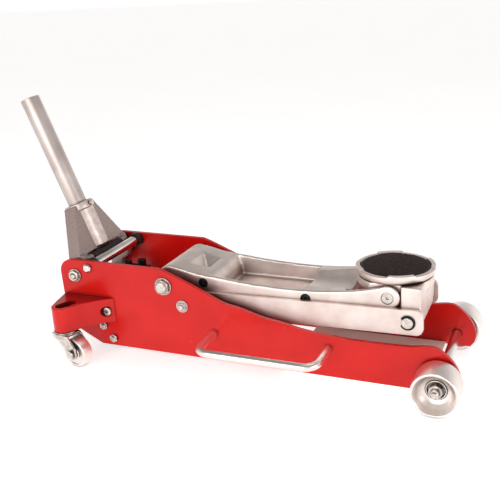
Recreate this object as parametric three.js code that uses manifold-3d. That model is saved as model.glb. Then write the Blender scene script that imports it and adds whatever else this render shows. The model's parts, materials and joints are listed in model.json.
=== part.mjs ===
// Low-profile trolley jack: side plates, parallelogram lift, saddle, pump unit, handle, wheels and casters.
// Millimetres. X runs forward towards the saddle, Y to the left, Z up from the floor.
import * as THREE from 'three';
import { mergeVertices } from 'three/addons/utils/BufferGeometryUtils.js';
import Module from 'manifold-3d';

const wasm = await Module();
wasm.setup();

// ---------------------------------------------------------------- driving dimensions
// X positions are measured from the front axle; the whole group is centred at the end.
const GAP = 0.3; // clearance between neighbouring pieces
const ROUND = 16; // sides of an ordinary round
const FINE = 32; // sides of the largest rounds

const PLATE = { inner: 69, outer: 75, bottom: 12.5, top: 143.5, rear: -563 };
const FRONT_AXLE = { x: 0, z: 30.2, r: 7, endRadius: 5 };
const FRONT_WHEEL = { r: 30.2, inner: 79.2, outer: 117.8, hubFace: 97.5 };

const ARM_PIVOT = { x: -388.7, z: 117.2 };
const LINK_PIVOT = { x: -360.6, z: 89.8 };
const ARM_LENGTH = 315.6;
const REST_SLOPE = THREE.MathUtils.degToRad(1.27); // slope of the lift arm as it stands here
const SADDLE_PIVOT = pointAlong(ARM_PIVOT, ARM_LENGTH, REST_SLOPE);
const SADDLE_LOWER_PIVOT = pointAlong(LINK_PIVOT, ARM_LENGTH, REST_SLOPE);
const ARM = { half: 52, wall: 7, hubRadius: 22.8, noseRadius: 16.4, sinkRadius: 7.5, sinkDepth: 5.5 };
const ARM_POCKET = {
  x: -356, z: 128, topHalf: 29, floorHalf: 6, depth: 18, narrowing: 0.72, tilt: THREE.MathUtils.degToRad(9),
};
const LINK = { inner: 52.3, outer: 58.8, half: 17, reach: 19.5, corner: 9 };
const SADDLE = {
  x: -74, r: 53, bottom: 141.3, rim: 152.5, lugTop: 155, padRadius: 46.4, padTop: 154, stemRadius: 12,
  stemBottom: 118,
};
const LUGS = { centres: [21, 111, 201, 291], halfAngle: 20 };

const CRANK = {
  length: 50, lean: THREE.MathUtils.degToRad(17), rollerRadius: 11, cheekInner: 14, cheekOuter: 24,
};
const CRANK_PIN = {
  x: ARM_PIVOT.x - CRANK.length * Math.sin(CRANK.lean),
  z: ARM_PIVOT.z - CRANK.length * Math.cos(CRANK.lean),
};
const RAM = { r: 13, rollerGap: 0.5, rear: -492, boreEnd: -503 };
const BLOCK = { rear: -514, front: -474, half: 36, bottom: 22, top: 102, footTop: 52, footRear: -511 };
const TANK = { r: 30, front: -446, glandRadius: 20, glandFront: -436 };

const YOKE_PIVOT = { x: -537.4, z: 119.8 };
const HANDLE_TILT = THREE.MathUtils.degToRad(21.5); // from vertical, towards the rear
const HANDLE = { outerRadius: 14.5, boreRadius: 12.5, bottom: 32, top: 268 };
const SOCKET = { r: 20, collarRadius: 22.5, collarBottom: 84, top: 95.1, bottom: 30, screwHeight: 89 };
const YOKE = {
  legInner: 50, legOuter: 62, half: 12, webBottom: 26, shoulder: 22, shoulderTop: 88, topHalf: 24,
  wallBottom: 10, wallFront: 8.6,
};
const PUMP = { lever: 32, lean: THREE.MathUtils.degToRad(22.5), y: 24, rollerRadius: 9, pistonRadius: 8 };
const PUMP_ROLLER = {
  x: YOKE_PIVOT.x - PUMP.lever * Math.sin(PUMP.lean),
  z: YOKE_PIVOT.z - PUMP.lever * Math.cos(PUMP.lean),
};
const TIE_BAR = { x: -513.8, z: 133.2, r: 8, endRadius: 4.5 };
const BUMP_ROLLER = { x: -529.4, z: 136, r: 7, half: 38, journalRadius: 3.5, journalEnd: 50 };

const CASTER = {
  x: -534, y: 119.5, trail: 22.7, yaw: THREE.MathUtils.degToRad(14), wheelRadius: 21.7, stemRadius: 6,
  stemTop: 84, nutBottom: 74, nutTop: 82,
};
const CASTER_BRACKET = { bottom: 51.8, top: 89.7, wall: 4, endRadius: 16 };
const CARRY_LOOP = { rear: -313, front: -146, z: 54.3, reach: 137, r: 5.5, corner: 20, end: 66, steps: 40 };
const BELLY = { rear: -209, front: -15, top: 15.5 };

// Radii of the shanks and pins; a bore is GAP wider.
const SHANK = { arm: 8, link: 7, yoke: 6, small: 4, crankPin: 5, upperPin: 8, lowerPin: 7.5, stem: 5, screw: 3 };

const BRACKET_BOLT = { x: -484, z: 70, headRadius: 6.4, sinkRadius: 8 };
const BLOCK_BOLTS = { upper: { x: -496.6, z: 43.2 }, lower: { x: -481.4, z: 24.5 } };
const ARM_BOLTS = { rear: { x: -336.9, z: 118.8 }, front: { x: -184.1, z: 111.5 } };

// The tube's rearmost edge and the front wheel's foremost edge fix the middle of the length.
const TUBE_END_X =
  YOKE_PIVOT.x - HANDLE.top * Math.sin(HANDLE_TILT) - HANDLE.outerRadius * Math.cos(HANDLE_TILT);
const CENTRE_X = (TUBE_END_X + FRONT_WHEEL.r) / 2;

// ---------------------------------------------------------------- materials
const RED_PAINT = material(0xd0302a, 0.25, 0.1);
const CAST_ALUMINIUM = material(0xdccbc6, 0.45, 0.8);
const BRIGHT_ALUMINIUM = material(0xe6ddd6, 0.3, 0.9);
const CAST_IRON = material(0x96857f, 0.6, 0.7);
const ZINC_STEEL = material(0xc9c2bc, 0.35, 0.9);
const CHROME = material(0xd8d8d8, 0.12, 1.0);
const BLACK_RUBBER = material(0x2b2220, 0.8, 0.0);
const BLACK_STEEL = material(0x1c1b1b, 0.5, 0.6);

function material(color, roughness, metalness) {
  return new THREE.MeshStandardMaterial({ color, roughness, metalness });
}

function pointAlong(start, length, slope) {
  return { x: start.x + length * Math.cos(slope), z: start.z + length * Math.sin(slope) };
}

// ---------------------------------------------------------------- closed meshes and their joins and cuts
// Keeps only the positions, joins coincident vertices and turns the faces outwards.
function closed(geometry) {
  const bare = geometry.clone();
  bare.deleteAttribute('normal');
  bare.deleteAttribute('uv');
  const merged = mergeVertices(bare, 1e-4);
  const position = merged.getAttribute('position');
  const corner = (i) => new THREE.Vector3().fromBufferAttribute(position, i);
  const source = merged.getIndex().array;
  const faces = [];
  let volume = 0;
  for (let i = 0; i < source.length; i += 3) {
    const [a, b, c] = [source[i], source[i + 1], source[i + 2]];
    if (a === b || b === c || c === a) continue;
    faces.push([a, b, c]);
    volume += corner(a).dot(corner(b).cross(corner(c)));
  }
  const wound = volume < 0 ? faces.map(([a, b, c]) => [a, c, b]) : faces;
  merged.setIndex(wound.flat());
  return merged;
}

function toManifold(geometry) {
  const mesh = closed(geometry);
  const vertProperties = new Float32Array(mesh.getAttribute('position').array);
  const triVerts = new Uint32Array(mesh.getIndex().array);
  return new wasm.Manifold(new wasm.Mesh({ numProp: 3, vertProperties, triVerts }));
}

function toGeometry(manifold) {
  const { vertProperties, triVerts } = manifold.getMesh();
  const geometry = new THREE.BufferGeometry();
  geometry.setAttribute('position', new THREE.BufferAttribute(vertProperties, 3));
  geometry.setIndex(new THREE.BufferAttribute(triVerts, 1));
  return geometry;
}

// Joins the solids of the first list, then cuts the solids of the second list out of them.
function carve(solids, cuts = []) {
  const joined = solids.map(toManifold).reduce((all, next) => all.add(next));
  const carved = cuts.map(toManifold).reduce((rest, next) => rest.subtract(next), joined);
  return toGeometry(carved);
}

function overlap(first, second) {
  return toGeometry(toManifold(first).intersect(toManifold(second)));
}

function mirrored(geometry) {
  return closed(geometry.clone().scale(1, -1, 1));
}

// ---------------------------------------------------------------- outlines and basic solids
// Points on an arc from one angle to another, in degrees, both ends included.
function arc(cx, cy, r, from, to, steps) {
  const points = [];
  for (let i = 0; i <= steps; i += 1) {
    const angle = THREE.MathUtils.degToRad(from + ((to - from) * i) / steps);
    points.push([cx + r * Math.cos(angle), cy + r * Math.sin(angle)]);
  }
  return points;
}

function smooth(points, steps) {
  const curve = new THREE.SplineCurve(points.map(([x, y]) => new THREE.Vector2(x, y)));
  return curve.getPoints(steps).map((point) => [point.x, point.y]);
}

function toShape(outline, holes = []) {
  const vectors = (points) => points.map(([x, y]) => new THREE.Vector2(x, y));
  const shape = new THREE.Shape(vectors(outline));
  for (const [x, y, r] of holes) {
    shape.holes.push(new THREE.Path(vectors(arc(x, y, r, 0, 360, ROUND).slice(0, -1))));
  }
  return shape;
}

function extrude(outline, depth, holes) {
  return new THREE.ExtrudeGeometry(toShape(outline, holes), { depth, bevelEnabled: false });
}

// Outline in X and Z, thickness along Y.
function slabY(outline, low, high, holes) {
  return extrude(outline, high - low, holes).rotateX(Math.PI / 2).translate(0, high, 0);
}

// Outline in X and Y, thickness along Z.
function slabZ(outline, low, high, holes) {
  return extrude(outline, high - low, holes).translate(0, 0, low);
}

// Outline in Y and Z, thickness along X.
function slabX(outline, low, high, holes) {
  const turn = new THREE.Matrix4().makeBasis(
    new THREE.Vector3(0, 1, 0),
    new THREE.Vector3(0, 0, 1),
    new THREE.Vector3(1, 0, 0),
  );
  return extrude(outline, high - low, holes).applyMatrix4(turn).translate(low, 0, 0);
}

function box(low, high) {
  const size = high.map((value, i) => value - low[i]);
  const centre = high.map((value, i) => (value + low[i]) / 2);
  return new THREE.BoxGeometry(...size).translate(...centre);
}

// Solid of revolution about Y from pairs of radius and height.
function turned(profile, sides = ROUND) {
  return new THREE.LatheGeometry(profile.map(([r, h]) => new THREE.Vector2(r, h)), sides);
}

function alongX(geometry) {
  return geometry.rotateZ(-Math.PI / 2);
}

function alongZ(geometry) {
  return geometry.rotateX(Math.PI / 2);
}

function rod(r, low, high, sides = ROUND) {
  return new THREE.CylinderGeometry(r, r, high - low, sides).translate(0, (low + high) / 2, 0);
}

function rodY(at, r, low, high, sides) {
  return rod(r, low, high, sides).translate(at.x, 0, at.z);
}

function closedRing(innerRadius, outerRadius, low, high) {
  return [
    [innerRadius, low],
    [outerRadius, low],
    [outerRadius, high],
    [innerRadius, high],
    [innerRadius, low],
  ];
}

// ---------------------------------------------------------------- scene graph
const jack = new THREE.Group();
jack.position.x = -CENTRE_X;

function add(name, geometry, finish, parent = jack) {
  const mesh = new THREE.Mesh(closed(geometry), finish);
  mesh.name = name;
  parent.add(mesh);
  return mesh;
}

// A piece drawn for the left side, and its mirror image on the right.
function addPair(name, geometry, finish, parent = jack) {
  add(`${name}_left`, geometry, finish, parent);
  add(`${name}_right`, mirrored(geometry), finish, parent);
}

// ---------------------------------------------------------------- frame
function sidePlate() {
  const topSweep = [
    [-395, 142.5], [-377, 136], [-357, 127.5], [-331, 116.6], [-299, 102], [-272, 96], [-240, 86.8],
    [-214, 82.7], [-185, 76.5], [-157.5, 73], [-116.6, 70],
  ];
  const nose = [[-38, 71], [-11, 74.3], [3, 68.6], [17, 55], [25.4, 38], [25.4, 23], [19, PLATE.bottom]];
  const outline = [
    [-503, PLATE.bottom],
    [-530, 26],
    [-560, 42],
    ...arc(PLATE.rear + 20, PLATE.top - 20, 20, 180, 90, 6),
    ...smooth(topSweep, 22),
    [-64, 70],
    ...smooth(nose, 16),
  ];
  const holes = [
    [FRONT_AXLE.x, FRONT_AXLE.z, FRONT_AXLE.r + GAP],
    [ARM_PIVOT.x, ARM_PIVOT.z, SHANK.arm + GAP],
    [LINK_PIVOT.x, LINK_PIVOT.z, SHANK.link + GAP],
    [YOKE_PIVOT.x, YOKE_PIVOT.z, SHANK.yoke + GAP],
    [TIE_BAR.x, TIE_BAR.z, TIE_BAR.endRadius + GAP],
    [BRACKET_BOLT.x, BRACKET_BOLT.z, SHANK.small + GAP],
    [BLOCK_BOLTS.upper.x, BLOCK_BOLTS.upper.z, SHANK.small + GAP],
    [BLOCK_BOLTS.lower.x, BLOCK_BOLTS.lower.z, SHANK.small + GAP],
    [CARRY_LOOP.rear, CARRY_LOOP.z, CARRY_LOOP.r + GAP],
    [CARRY_LOOP.front, CARRY_LOOP.z, CARRY_LOOP.r + GAP],
  ];
  return slabY(outline, PLATE.inner, PLATE.outer, holes);
}

function bellyPlate() {
  const half = PLATE.inner - GAP;
  return box([BELLY.rear, -half, PLATE.bottom], [BELLY.front, half, BELLY.top]);
}

// Round bar between the plates; its ends pass through them and are headed outside.
function tieBar() {
  const half = PLATE.inner - GAP;
  const head = PLATE.outer + GAP;
  const { r, endRadius } = TIE_BAR;
  const side = [[r, half], [endRadius, half], [endRadius, head], [6.5, head], [6.5, head + 3], [4.5, head + 4.7]];
  const far = side.map(([radius, y]) => [radius, -y]).reverse();
  const profile = [[0, -head - 4.7], ...far, ...side, [0, head + 4.7]];
  return turned(profile).translate(TIE_BAR.x, 0, TIE_BAR.z);
}

// Bent round bar whose two legs pass through the side plate.
function carryLoop() {
  const { rear, front, z, reach, r, corner, end, steps } = CARRY_LOOP;
  const at = (x, y) => new THREE.Vector3(x, y, z);
  const bend = reach - corner;
  const path = new THREE.CurvePath();
  path.add(new THREE.LineCurve3(at(rear, end), at(rear, bend)));
  path.add(new THREE.QuadraticBezierCurve3(at(rear, bend), at(rear, reach), at(rear + corner, reach)));
  path.add(new THREE.LineCurve3(at(rear + corner, reach), at(front - corner, reach)));
  path.add(new THREE.QuadraticBezierCurve3(at(front - corner, reach), at(front, reach), at(front, bend)));
  path.add(new THREE.LineCurve3(at(front, bend), at(front, end)));
  const section = toShape(arc(0, 0, r, 0, 324, 9));
  return new THREE.ExtrudeGeometry(section, { steps, extrudePath: path });
}

function buildFrame() {
  addPair('side_plate', sidePlate(), RED_PAINT);
  add('belly_plate', bellyPlate(), BRIGHT_ALUMINIUM);
  add('rear_tie_bar', tieBar(), CHROME);
  addPair('carry_loop', carryLoop(), CHROME);
}

// ---------------------------------------------------------------- front wheels
function frontAxle() {
  const shoulder = FRONT_WHEEL.hubFace;
  const end = FRONT_WHEEL.outer - 2;
  const { r, endRadius } = FRONT_AXLE;
  const profile = [
    [0, -end], [endRadius - 1, -end], [endRadius, 1 - end], [endRadius, -shoulder], [r, -shoulder],
    [r, shoulder], [endRadius, shoulder], [endRadius, end - 1], [endRadius - 1, end], [0, end],
  ];
  return turned(profile);
}

// Dished metal wheel with a raised hub ring; the dish faces outwards.
function frontWheel() {
  const { r, inner, outer, hubFace } = FRONT_WHEEL;
  const bore = FRONT_AXLE.r + GAP;
  const profile = [
    [bore, inner], [15, inner], [15, inner + 5], [25, inner + 5], [25, inner], [r - 1.5, inner],
    [r, inner + 1.5], [r, outer - 1.5], [r - 1.8, outer], [26.2, outer], [24.6, outer - 5],
    [21.5, outer - 11], [13.5, outer - 16.5], [12.4, outer - 15.5], [11.6, hubFace], [bore, hubFace],
    [bore, inner],
  ];
  return turned(profile, FINE);
}

// Hexagon nut with its washer face.
function axleNut() {
  const start = FRONT_WHEEL.hubFace + GAP;
  const bore = FRONT_AXLE.endRadius + GAP;
  const washer = turned(closedRing(bore, 10.8, start, start + 1.6));
  const hexagon = rod(9, start + 1.4, start + 9, 6);
  return carve([washer, hexagon], [rod(bore, start - 5, start + 12)]);
}

function buildFrontWheels() {
  const place = new THREE.Group();
  place.position.set(FRONT_AXLE.x, 0, FRONT_AXLE.z);
  jack.add(place);
  add('front_axle', frontAxle(), ZINC_STEEL, place);
  addPair('front_wheel', frontWheel(), BRIGHT_ALUMINIUM, place);
  addPair('axle_nut', axleNut(), ZINC_STEEL, place);
}

// ---------------------------------------------------------------- casters
// Hollow bracket outboard of the plate, with a slot above the caster's stem.
function casterBracket() {
  const { bottom, top, wall, endRadius } = CASTER_BRACKET;
  const face = PLATE.outer + GAP;
  const outline = [
    [-473, face],
    [-491, 88.5],
    [-508, 107],
    ...arc(CASTER.x, CASTER.y, endRadius, 24, 176, 8),
    [-553, 109],
    [-560, face],
  ];
  const hollow = [
    [-487, face + wall],
    [-497, 89],
    [-511.5, 105.5],
    ...arc(CASTER.x, CASTER.y, endRadius - wall, 24, 176, 8),
    [-549, 108],
    [-555, face + wall],
  ];
  const slot = [...arc(-533.5, 122.5, 9, 22, 202, 6), ...arc(-528, 109, 9, 202, 382, 6)];
  return carve(
    [slabZ(outline, bottom, top)],
    [
      slabZ(hollow, bottom + wall, top - wall),
      slabZ(slot, top - 2 * wall, top + 1),
      alongZ(rod(CASTER.stemRadius + GAP, bottom - 1, bottom + 2 * wall)).translate(CASTER.x, CASTER.y, 0),
      rodY(BRACKET_BOLT, BRACKET_BOLT.sinkRadius, face + wall - 0.1, 110),
      rodY(BRACKET_BOLT, SHANK.small + GAP, face - 1, face + wall),
    ],
  );
}

function bracketBolt() {
  const head = PLATE.outer + GAP + CASTER_BRACKET.wall + GAP;
  const shank = rodY(BRACKET_BOLT, SHANK.small, PLATE.inner - 3, head + 1);
  return carve([shank, rodY(BRACKET_BOLT, BRACKET_BOLT.headRadius, head, head + 4)]);
}

// Pressed fork with its ball race and threaded stem, drawn with the stem on the Z axis and the wheel ahead.
function casterFork() {
  const { trail, wheelRadius, stemRadius, stemTop } = CASTER;
  const legOutline = [
    [-16, 48],
    [-15, 43],
    ...arc(trail, wheelRadius, 9, 215, 360, 8),
    [trail + 8, 30],
    [17, 48],
  ];
  const hole = [[trail, wheelRadius, SHANK.small + GAP]];
  const leg = slabY(legOutline, 10.5, 13.5, hole);
  const crown = slabZ([...arc(0, 0, 17, 90, 270, 8), [16, -13.5], [16, 13.5]], 45, 48.2);
  const race = alongZ(
    turned([
      [0, 47], [17, 47], [17, 49], [15.5, 49.4], [15.5, 49.8], [17, 50.2], [17, 51.5],
      [stemRadius, 51.5], [stemRadius, stemTop], [0, stemTop],
    ]),
  );
  return carve([leg, mirrored(leg), crown, race]);
}

function casterWheel() {
  const r = CASTER.wheelRadius;
  const half = 8.5;
  const profile = [
    [SHANK.small + GAP, -half], [8, -half], [9, 1.5 - half], [17, 1.5 - half], [18, -half], [r - 1.5, -half],
    [r, 1.5 - half],
  ];
  const far = profile.map(([radius, y]) => [radius, -y]).reverse();
  return turned([...profile, ...far, profile[0]], 24).translate(CASTER.trail, 0, r);
}

function casterAxle() {
  const at = { x: CASTER.trail, z: CASTER.wheelRadius };
  const inboardHead = rodY(at, 6, -17.3, -13.8);
  return carve([rodY(at, SHANK.small, -14, 14), rodY(at, 6.8, 13.8, 17.6, 6), inboardHead]);
}

// Nut near the top of the stem, on a sleeve that stands on the bracket's floor.
function casterNut() {
  const { stemRadius, nutBottom, nutTop } = CASTER;
  const seat = CASTER_BRACKET.bottom + CASTER_BRACKET.wall + GAP;
  const sleeve = alongZ(rod(8, seat, nutBottom + 0.1));
  const hexagon = alongZ(rod(9, nutBottom, nutTop, 6));
  return carve([sleeve, hexagon], [alongZ(rod(stemRadius + GAP, seat - 1, nutTop + 1))]);
}

function buildCasters() {
  addPair('caster_bracket', casterBracket(), RED_PAINT);
  addPair('caster_bracket_bolt', bracketBolt(), ZINC_STEEL);
  const swivelled = (geometry) => geometry.rotateZ(CASTER.yaw).translate(CASTER.x, CASTER.y, 0);
  addPair('caster_fork', swivelled(casterFork()), ZINC_STEEL);
  addPair('caster_wheel', swivelled(casterWheel()), BRIGHT_ALUMINIUM);
  addPair('caster_axle', swivelled(casterAxle()), ZINC_STEEL);
  addPair('caster_nut', swivelled(casterNut()), ZINC_STEEL);
}

// ---------------------------------------------------------------- lift arm and links
// Cast arm: hub and crank at the rear, two open pockets, a dished web and a fork for the saddle bracket.
function liftArm() {
  const { half, wall, hubRadius, noseRadius } = ARM;
  const inner = half - wall;
  const top = [
    [-372, 137], [-356, 133.5], [-341, 131], [-317, 129], [-279, 125.4], [-235, 123], [-191.5, 122.9],
    [-163, 124.5], [-136, 127.5], [-115.5, 130.4], [-95.6, 134.6], [-82.5, 138],
  ];
  const outline = [
    ...arc(ARM_PIVOT.x, ARM_PIVOT.z, hubRadius, 280, 92, 14),
    ...top,
    ...arc(SADDLE_PIVOT.x, SADDLE_PIVOT.z, noseRadius, 104, -90, 12),
    [-135, 105.5],
    [-175, 95],
    [-345, 94],
  ];
  const body = slabY(outline, -half, half);
  const { topHalf, floorHalf, depth, narrowing, tilt, x: pocketX, z: pocketZ } = ARM_POCKET;
  const pocket = new THREE.CylinderGeometry(topHalf * Math.SQRT2, floorHalf * Math.SQRT2, depth, 4, 1)
    .rotateX(Math.PI / 2)
    .rotateZ(Math.PI / 4)
    .scale(narrowing, 1, 1)
    .rotateY(tilt)
    .translate(pocketX, 0, pocketZ);
  const longPocket = box([-318, -inner, 99], [-192, inner, 150]);
  const dish = slabX(arc(0, 184, 68, 222, 318, 12), -195, -128);
  const forkGap = box([-129.5, -inner, 80], [-40, inner, 160]);
  const boltCuts = Object.values(ARM_BOLTS).flatMap((bolt) => [
    rodY(bolt, SHANK.small + GAP, -half - 1, half + 1),
    rodY(bolt, ARM.sinkRadius, half - ARM.sinkDepth, half + 1),
    rodY(bolt, ARM.sinkRadius, -half - 1, ARM.sinkDepth - half),
  ]);
  return carve(
    [body, ...crankCheeks()],
    [
      pocket,
      longPocket,
      dish,
      forkGap,
      rodY(ARM_PIVOT, SHANK.arm + GAP, -half - 1, half + 1),
      rodY(SADDLE_PIVOT, SHANK.upperPin + GAP, -half - 1, half + 1),
      rodY(CRANK_PIN, SHANK.crankPin + GAP, -30, 30),
      ...boltCuts,
    ],
  );
}

// The two cheeks under the hub that carry the roller between them.
function crankCheeks() {
  const tip = 10;
  const root = 18;
  const lean = CRANK.lean;
  const across = { x: Math.cos(lean), z: -Math.sin(lean) };
  const angle = -THREE.MathUtils.radToDeg(lean);
  const outline = [
    [ARM_PIVOT.x + root * across.x, ARM_PIVOT.z + root * across.z],
    [ARM_PIVOT.x - root * across.x, ARM_PIVOT.z - root * across.z],
    ...arc(CRANK_PIN.x, CRANK_PIN.z, tip, 180 + angle, 360 + angle, 8),
  ];
  const cheek = slabY(outline, CRANK.cheekInner, CRANK.cheekOuter);
  return [cheek, mirrored(cheek)];
}

function crankRoller() {
  const half = CRANK.cheekInner - GAP;
  const pinEnd = CRANK.cheekOuter + 2;
  return carve([
    rodY(CRANK_PIN, CRANK.rollerRadius, -half, half),
    rodY(CRANK_PIN, SHANK.crankPin, -pinEnd, pinEnd),
  ]);
}

// Long bolt across the arm with a round head sunk in each side.
function armBolt(at) {
  const head = ARM.half - ARM.sinkDepth + GAP;
  const headRadius = ARM.sinkRadius - 1.3;
  return carve([
    rodY(at, SHANK.small, -head - 1, head + 1),
    rodY(at, headRadius, head, ARM.half - 1),
    rodY(at, headRadius, 1 - ARM.half, -head),
  ]);
}

// Flat bar with a round rear end and a front end squared off with rounded corners.
function linkBar() {
  const slope = THREE.MathUtils.radToDeg(REST_SLOPE);
  const { half, reach, corner } = LINK;
  const front = pointAlong(SADDLE_LOWER_PIVOT, reach - corner, REST_SLOPE);
  const upper = pointAlong(front, half - corner, REST_SLOPE + Math.PI / 2);
  const lower = pointAlong(front, half - corner, REST_SLOPE - Math.PI / 2);
  const outline = [
    ...arc(LINK_PIVOT.x, LINK_PIVOT.z, half, 270 + slope, 90 + slope, 10),
    ...arc(upper.x, upper.z, corner, 90 + slope, slope, 5),
    ...arc(lower.x, lower.z, corner, slope, slope - 90, 5),
  ];
  const holes = [
    [LINK_PIVOT.x, LINK_PIVOT.z, SHANK.link + GAP],
    [SADDLE_LOWER_PIVOT.x, SADDLE_LOWER_PIVOT.z, SHANK.lowerPin + GAP],
  ];
  return slabY(outline, LINK.inner, LINK.outer, holes);
}

// Pivot shaft of the arm, with a sleeve between the arm and each plate and a nut outside.
function armShaft() {
  const sleeve = { low: ARM.half + GAP, high: PLATE.inner - GAP };
  const shaft = rodY(ARM_PIVOT, SHANK.arm, -84, 84);
  const collar = rodY(ARM_PIVOT, 13, sleeve.low, sleeve.high);
  return carve([shaft, collar, mirrored(collar)]);
}

function shaftNut(at, bore, radius, thickness) {
  const seat = PLATE.outer + GAP;
  const washer = rodY(at, radius + 1.5, seat, seat + 1.6);
  const hexagon = rodY(at, radius, seat + 1.5, seat + thickness, 6);
  return carve([washer, hexagon], [rodY(at, bore + GAP, seat - 1, seat + thickness + 1)]);
}

// Bolt whose shank passes in through the plate, with a washer under its head.
function headedBolt(at, shankRadius, inner, washerRadius, headRadius, headTop) {
  const seat = PLATE.outer + GAP;
  return carve([
    rodY(at, shankRadius, inner, seat + 1),
    rodY(at, washerRadius, seat, seat + 1.8),
    rodY(at, headRadius, seat + 1.7, headTop, 6),
  ]);
}

function buildArm() {
  add('lift_arm', liftArm(), CAST_ALUMINIUM);
  add('crank_roller', crankRoller(), ZINC_STEEL);
  add('arm_bolt_rear', armBolt(ARM_BOLTS.rear), BLACK_STEEL);
  add('arm_bolt_front', armBolt(ARM_BOLTS.front), BLACK_STEEL);
  add('arm_pivot_shaft', armShaft(), ZINC_STEEL);
  addPair('arm_pivot_nut', shaftNut(ARM_PIVOT, SHANK.arm, 11.5, 9), ZINC_STEEL);
  addPair('link_bar', linkBar(), CAST_ALUMINIUM);
  addPair('link_pivot_bolt', headedBolt(LINK_PIVOT, SHANK.link, LINK.inner, 9.2, 7.8, 80.5), ZINC_STEEL);
}

// ---------------------------------------------------------------- saddle
// Casting that stays level: a round table above, cheeks down to both pivots and a front wall.
function saddleBracket() {
  const inner = ARM.half - ARM.wall - 0.5;
  const wide = ARM.half - 0.5;
  const tableBottom = 129;
  const top = SADDLE.bottom - GAP;
  const table = overlap(
    alongZ(rod(50, tableBottom, top, FINE)).translate(SADDLE.x, 0, 0),
    box([-130, -inner, tableBottom - 1], [0, inner, top + 1]),
  );
  const { x: ux, z: uz } = SADDLE_PIVOT;
  const { x: lx, z: lz } = SADDLE_LOWER_PIVOT;
  const cheekOutline = [
    [-100, tableBottom + 2],
    ...arc(ux, uz, 14, 170, 290, 6),
    ...arc(lx, lz, 14.5, 215, 360, 7),
    [-30.3, 104],
    [-30, top - 1],
    [-32, top],
    [-98, top],
  ];
  const cheek = slabY(cheekOutline, 26, inner);
  const sideOutline = [
    [-56, 112],
    ...arc(lx, lz, 14.5, 180, 360, 8),
    [-30.3, 104],
    [-30, top - 1],
    [-32, top],
    [-56, top],
  ];
  const side = slabY(sideOutline, inner - 2, wide);
  const front = box([-37, 3 - inner, lz - 10], [-30.3, inner - 3, top - 0.5]);
  const boss = alongZ(rod(19, 120, tableBottom + 2)).translate(SADDLE.x, 0, 0);
  return carve(
    [table, cheek, mirrored(cheek), side, mirrored(side), front, boss],
    [
      rodY(SADDLE_PIVOT, SHANK.upperPin + GAP, -wide - 1, -24),
      rodY(SADDLE_PIVOT, SHANK.upperPin + GAP, 24, wide + 1),
      rodY(SADDLE_LOWER_PIVOT, SHANK.lowerPin + GAP, -wide - 1, wide + 1),
      alongZ(rod(SADDLE.stemRadius + GAP, SADDLE.stemBottom - 8, SADDLE.rim)).translate(SADDLE.x, 0, 0),
    ],
  );
}

// Short pin through an arm wall and a bracket cheek, flush outside.
function upperPin() {
  return rodY(SADDLE_PIVOT, SHANK.upperPin, 26, ARM.half - 0.5);
}

function lowerPin() {
  const end = LINK.outer + 3.4;
  return rodY(SADDLE_LOWER_PIVOT, SHANK.lowerPin, -end, end);
}

function retainingRing() {
  const start = LINK.outer + GAP;
  const { x, z } = SADDLE_LOWER_PIVOT;
  return turned(closedRing(SHANK.lowerPin + GAP, 10, start, start + 1.5)).translate(x, 0, z);
}

// Shallow cup with four raised lugs and a stem that turns in the bracket.
function saddleDish() {
  const { r, bottom, rim, lugTop, padRadius, stemRadius, stemBottom } = SADDLE;
  const cup = padRadius + GAP;
  const floor = bottom + 4;
  const profile = [
    [0, stemBottom], [stemRadius, stemBottom], [stemRadius, bottom], [r - 5, bottom], [r - 1, bottom + 4],
    [r, bottom + 7.5], [r, rim - 1],
    [r - 1, rim], [cup + 1, rim], [cup, rim - 1], [cup, floor], [0, floor],
  ];
  const body = alongZ(turned(profile, FINE));
  const lugs = LUGS.centres.map((centre) => {
    const [from, to] = [centre - LUGS.halfAngle, centre + LUGS.halfAngle];
    const outline = [...arc(0, 0, r - 0.4, from, to, 6), ...arc(0, 0, cup + 0.3, to, from, 6)];
    return slabZ(outline, rim - 2, lugTop);
  });
  return carve([body, ...lugs]);
}

function saddlePad() {
  const { bottom, padRadius: r, padTop } = SADDLE;
  const low = bottom + 4 + GAP;
  const profile = [[0, low], [r, low], [r, padTop - 2.2], [r - 2, padTop - 0.6], [r - 6, padTop], [0, padTop]];
  return alongZ(turned(profile, FINE));
}

function buildSaddle() {
  add('saddle_bracket', saddleBracket(), CAST_ALUMINIUM);
  addPair('saddle_upper_pin', upperPin(), ZINC_STEEL);
  add('saddle_lower_pin', lowerPin(), ZINC_STEEL);
  addPair('retaining_ring', retainingRing(), BLACK_STEEL);
  const place = new THREE.Group();
  place.position.x = SADDLE.x;
  jack.add(place);
  add('saddle_dish', saddleDish(), CAST_ALUMINIUM, place);
  add('saddle_pad', saddlePad(), BLACK_RUBBER, place);
}

// ---------------------------------------------------------------- hydraulic unit
function hydraulicBlock() {
  const { rear, front, half, bottom, top, footTop, footRear } = BLOCK;
  const foot = PLATE.inner - GAP;
  const bolts = Object.values(BLOCK_BOLTS);
  const stemBore = alongZ(rod(SHANK.stem + GAP, -77, -50))
    .rotateY(-HANDLE_TILT)
    .translate(YOKE_PIVOT.x, 0, YOKE_PIVOT.z);
  return carve(
    [
      box([rear, -half, bottom], [front, half, top]),
      box([footRear, -foot, PLATE.bottom + 2], [front, foot, footTop]),
    ],
    [
      alongX(rod(RAM.r + GAP, RAM.boreEnd, front + 1)).translate(0, 0, CRANK_PIN.z),
      alongX(rod(PUMP.pistonRadius + GAP, rear - 1, -477.5)).translate(0, PUMP.y, PUMP_ROLLER.z),
      stemBore,
      ...bolts.map((bolt) => rodY(bolt, SHANK.small + GAP, -foot - 1, foot + 1)),
    ],
  );
}

function tankTube() {
  const start = BLOCK.front + GAP;
  return alongX(turned(closedRing(RAM.r + GAP, TANK.r, start, TANK.front), 24)).translate(0, 0, CRANK_PIN.z);
}

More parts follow.
